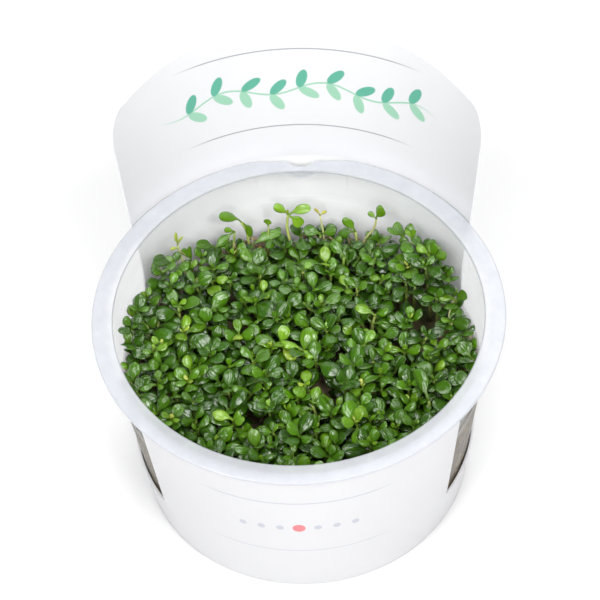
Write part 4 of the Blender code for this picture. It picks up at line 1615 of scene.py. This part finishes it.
def growShoots(shoots, foliage):
    rng = random.Random(shootForm["seed"] + 1)
    for number, shoot in enumerate(shoots):
        path = stemPath(shoot["foot"], shoot["top"])
        thick = shootForm["stemRadius"] * between(0.7, 1.0, shoot["size"])
        radii = thick * np.linspace(*shootForm["stemTaper"], len(path))
        foliage[shoot["owner"]]["stems"].append({
            "path": path, "radii": radii, "tone": rng.random(), "age": rng.uniform(*shootForm["stemAges"])})
        keepClear(*tube(path[::2], shootForm["stemRadius"], 4), number)
        shoot["path"] = path
        shoot["youth"] = rng.gauss(0.0, shootForm["youthSpread"])
        shoot["bud"] = rng.random() < shootForm["budShare"]
    for level, form in enumerate(shootForm["levels"]):
        for number, shoot in enumerate(shoots):
            if level == 0 and not shoot["bud"]:
                continue
            for side in (0, 1):
                outward = shoot["turn"] + math.pi / 2.0 * (level % 2) + math.pi * side
                foliage[shoot["owner"]]["leaves"] += growLeaf(shoot, form, outward, number, rng)


def growOldStems(stems, foliage):
    # bare brown stems and runners of earlier growth, standing along the wall under the leaves
    rng = random.Random(shootForm["seed"] + 2)
    change, limit, wander = oldStem["leanChange"], oldStem["leanLimit"], oldStem["wander"]
    for _ in range(oldStem["count"]):
        angle = rng.uniform(0.0, 2.0 * math.pi)
        thick = rng.uniform(*oldStem["radius"])
        top = rng.uniform(*oldStem["top"])
        depth = rng.uniform(*oldStem["depth"]) * mm
        height = mat["top"] - rng.uniform(*oldStem["below"]) * mm
        lean = rng.uniform(-oldStem["lean"], oldStem["lean"])
        path = []
        while height < top:
            radius = cupInnerRadius(height) - thick - depth
            path.append((*around(radius, angle), height))
            lean = held(lean + rng.uniform(-change, change), -limit, limit)
            depth = held(depth + rng.uniform(-wander, wander) * mm, *oldStem["depthLimits"])
            angle += oldStem["step"] * math.sin(lean) / radius
            height += oldStem["step"] * math.cos(lean)
        owner = nearestStem(stems, path[0][0], path[0][1])
        form = {"path": smoothPath(path, 2), "radii": thick, "tone": rng.random(), "age": rng.random()}
        foliage[owner]["oldStems"].append(form)


leafPaint = {
    "finish": {
        "IOR": 1.45, "Specular IOR Level": 0.1,
        "Coat Weight": 1.0, "Coat IOR": 1.60, "Coat Roughness": 0.065,
    },
    # from the oldest, darkest leaves to young and then yellowing ones; as the lower levels are the oldest,
    # their dark end is also painted shade deep in the carpet
    "ageAndShadeColors": (
        (0.0, (0.013, 0.046, 0.002)),
        (0.32, (0.030, 0.094, 0.003)),
        (0.55, (0.068, 0.178, 0.004)),
        (0.75, (0.160, 0.310, 0.012)),
        (0.88, (0.460, 0.500, 0.085)),
        (1.0, (0.620, 0.400, 0.040)),
    ),
    "blotchSize": 2.2 * mm,
    "shades": (0.65, 1.35),
    "veinWaves": 17.0,
    "veinColor": (0.12, 0.24, 0.02),
    # the leaf's edge, a painted highlight along its rim
    "edgeHighlightColor": (0.17, 0.30, 0.035),
    "stalkColor": (0.17, 0.27, 0.035),
    "underColor": (0.09, 0.19, 0.025),
    "shineSize": 1.1 * mm,
    "roughness": (0.20, 0.38),
    "folds": (2.4, 1.6, 40.0),  # how many across and along, and how far apart two leaves draw theirs
    "foldDepth": 0.40 * mm,
    "cellSize": 0.16 * mm,
    "skinDepth": 0.05 * mm,
}


def glossyLeaf():
    paint = Paint("glossyLeaf", leafPaint["finish"])
    age, tone, along, across, under = (
        paint.attribute(name) for name in ("leafAge", "leafTone", "leafAlong", "leafAcross", "leafUnder"))
    blotches = paint.noise(leafPaint["blotchSize"], 3.0, 0.55)
    light = paint.plus(paint.times(tone, 0.5), paint.times(blotches, 0.7))
    shade = paint.remap(light, 0.0, 1.0, *leafPaint["shades"])
    inputs = {"Value": shade, "Color": paint.ramp(age, *leafPaint["ageAndShadeColors"])}
    color = paint.node("ShaderNodeHueSaturation", inputs).outputs[0]

    # paler midrib, thin side veins that run with it, a paler edge that is a painted highlight, and a paler
    # stalk and underside
    side = paint.calc("ABSOLUTE", across)
    veinWave = paint.calc("SINE", paint.times(across, leafPaint["veinWaves"]))
    veinWave = paint.times(veinWave, paint.remap(side, 0.85, 0.35))
    for mask, share, tint in (
        (paint.remap(side, 0.12, 0.02), 0.16, "veinColor"),
        (paint.remap(veinWave, 0.70, 1.0), 0.07, "veinColor"),
        (paint.remap(side, 0.86, 1.0), 0.35, "edgeHighlightColor"),
        (paint.remap(along, 0.42, 0.08), 0.45, "stalkColor"),
        (under, 0.45, "underColor"),
    ):
        color = paint.mix(paint.times(mask, share), color, leafPaint[tint])

    # lengthwise folds, different on each leaf, that draw the highlights out into streaks
    directions = zip((across, along, tone), leafPaint["folds"])
    inputs = {number: paint.times(value, often) for number, (value, often) in enumerate(directions)}
    folds = paint.noise(1.0, 2.0, 0.5, paint.node("ShaderNodeCombineXYZ", inputs).outputs[0])
    inputs = {"Vector": paint.place, "Scale": 1.0 / leafPaint["cellSize"]}
    cells = paint.node("ShaderNodeTexVoronoi", inputs).outputs[0]
    relief = paint.plus(paint.times(cells, 0.15), paint.times(veinWave, 0.20))
    skin = paint.bump(relief, leafPaint["skinDepth"])
    waves = paint.bump(folds, leafPaint["foldDepth"], skin)
    shine = paint.noise(leafPaint["shineSize"], 2.0)
    return paint.wire({
        "Base Color": color,
        "Roughness": paint.remap(shine, 0.0, 1.0, *leafPaint["roughness"]),
        "Normal": waves,
        "Coat Normal": waves,
    })


def juicyStem():
    paint = Paint("juicyStem", {"IOR": 1.42, "Coat Weight": 0.3, "Coat Roughness": 0.15})
    fresh = paint.ramp(
        paint.attribute("leafAge"),
        (0.0, (0.10, 0.13, 0.02)),
        (0.5, (0.17, 0.27, 0.04)),
        (0.78, (0.40, 0.48, 0.12)),
        (1.0, (0.66, 0.62, 0.30)),
    )
    blush = paint.noise(2.5 * mm)
    low = paint.remap(paint.attribute("leafAlong"), 0.65, 0.0)
    lengthwise = paint.noise(0.3 * mm, place=paint.stretched(0.2))
    return paint.wire({
        "Base Color": paint.mix(paint.times(blush, low), fresh, (0.28, 0.15, 0.08)),
        "Roughness": paint.remap(blush, 0.0, 1.0, 0.30, 0.50),
        "Normal": paint.bump(lengthwise, 0.05 * mm),
    })


def driedStem():
    paint = Paint("oldStem", {"IOR": 1.42, "Coat Weight": 0.15, "Coat Roughness": 0.2})
    blotches = paint.noise(1.8 * mm, 3.0, 0.55)
    share = paint.plus(paint.times(paint.attribute("leafAge"), 0.6), paint.times(blotches, 0.4))
    color = paint.ramp(
        share,
        (0.10, (0.120, 0.082, 0.045)),
        (0.40, (0.260, 0.190, 0.110)),
        (0.65, (0.360, 0.290, 0.180)),
        (0.90, (0.250, 0.280, 0.110)),
    )
    return paint.wire({
        "Base Color": color,
        "Roughness": paint.remap(blotches, 0.0, 1.0, 0.40, 0.65),
        "Normal": paint.bump(paint.noise(0.4 * mm), 0.06 * mm),
    })


def makePlants():
    stems = planStems()
    foliage = {name: {"stems": [], "oldStems": [], "leaves": []} for name in stems}
    growByHand(stems, foliage)
    shoots = planShoots(stems)
    growShoots(shoots, foliage)
    growOldStems(stems, foliage)
    greens = [glossyLeaf(), juicyStem(), driedStem()]
    for name, parts in foliage.items():
        gathered = Gathered()
        for stem in parts["stems"]:
            addStem(gathered, stem)
        for stem in parts["oldStems"]:
            addStem(gathered, stem, 5, 2)
        for leaf in parts["leaves"]:
            addLeaf(gathered, leaf)
        standsFor(gathered.piece(name + "_foliage", greens), "leaves", name)
    leaves = sum(len(parts["leaves"]) for parts in foliage.values())
    print("plants are made:", len(shoots), "shoots and", leaves, "leaves")


makePlants()

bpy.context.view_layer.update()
triangles = sum(len(polygon.vertices) - 2 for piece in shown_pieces() for polygon in piece.data.polygons)
print("sizes are written, the scene has", triangles, "triangles")
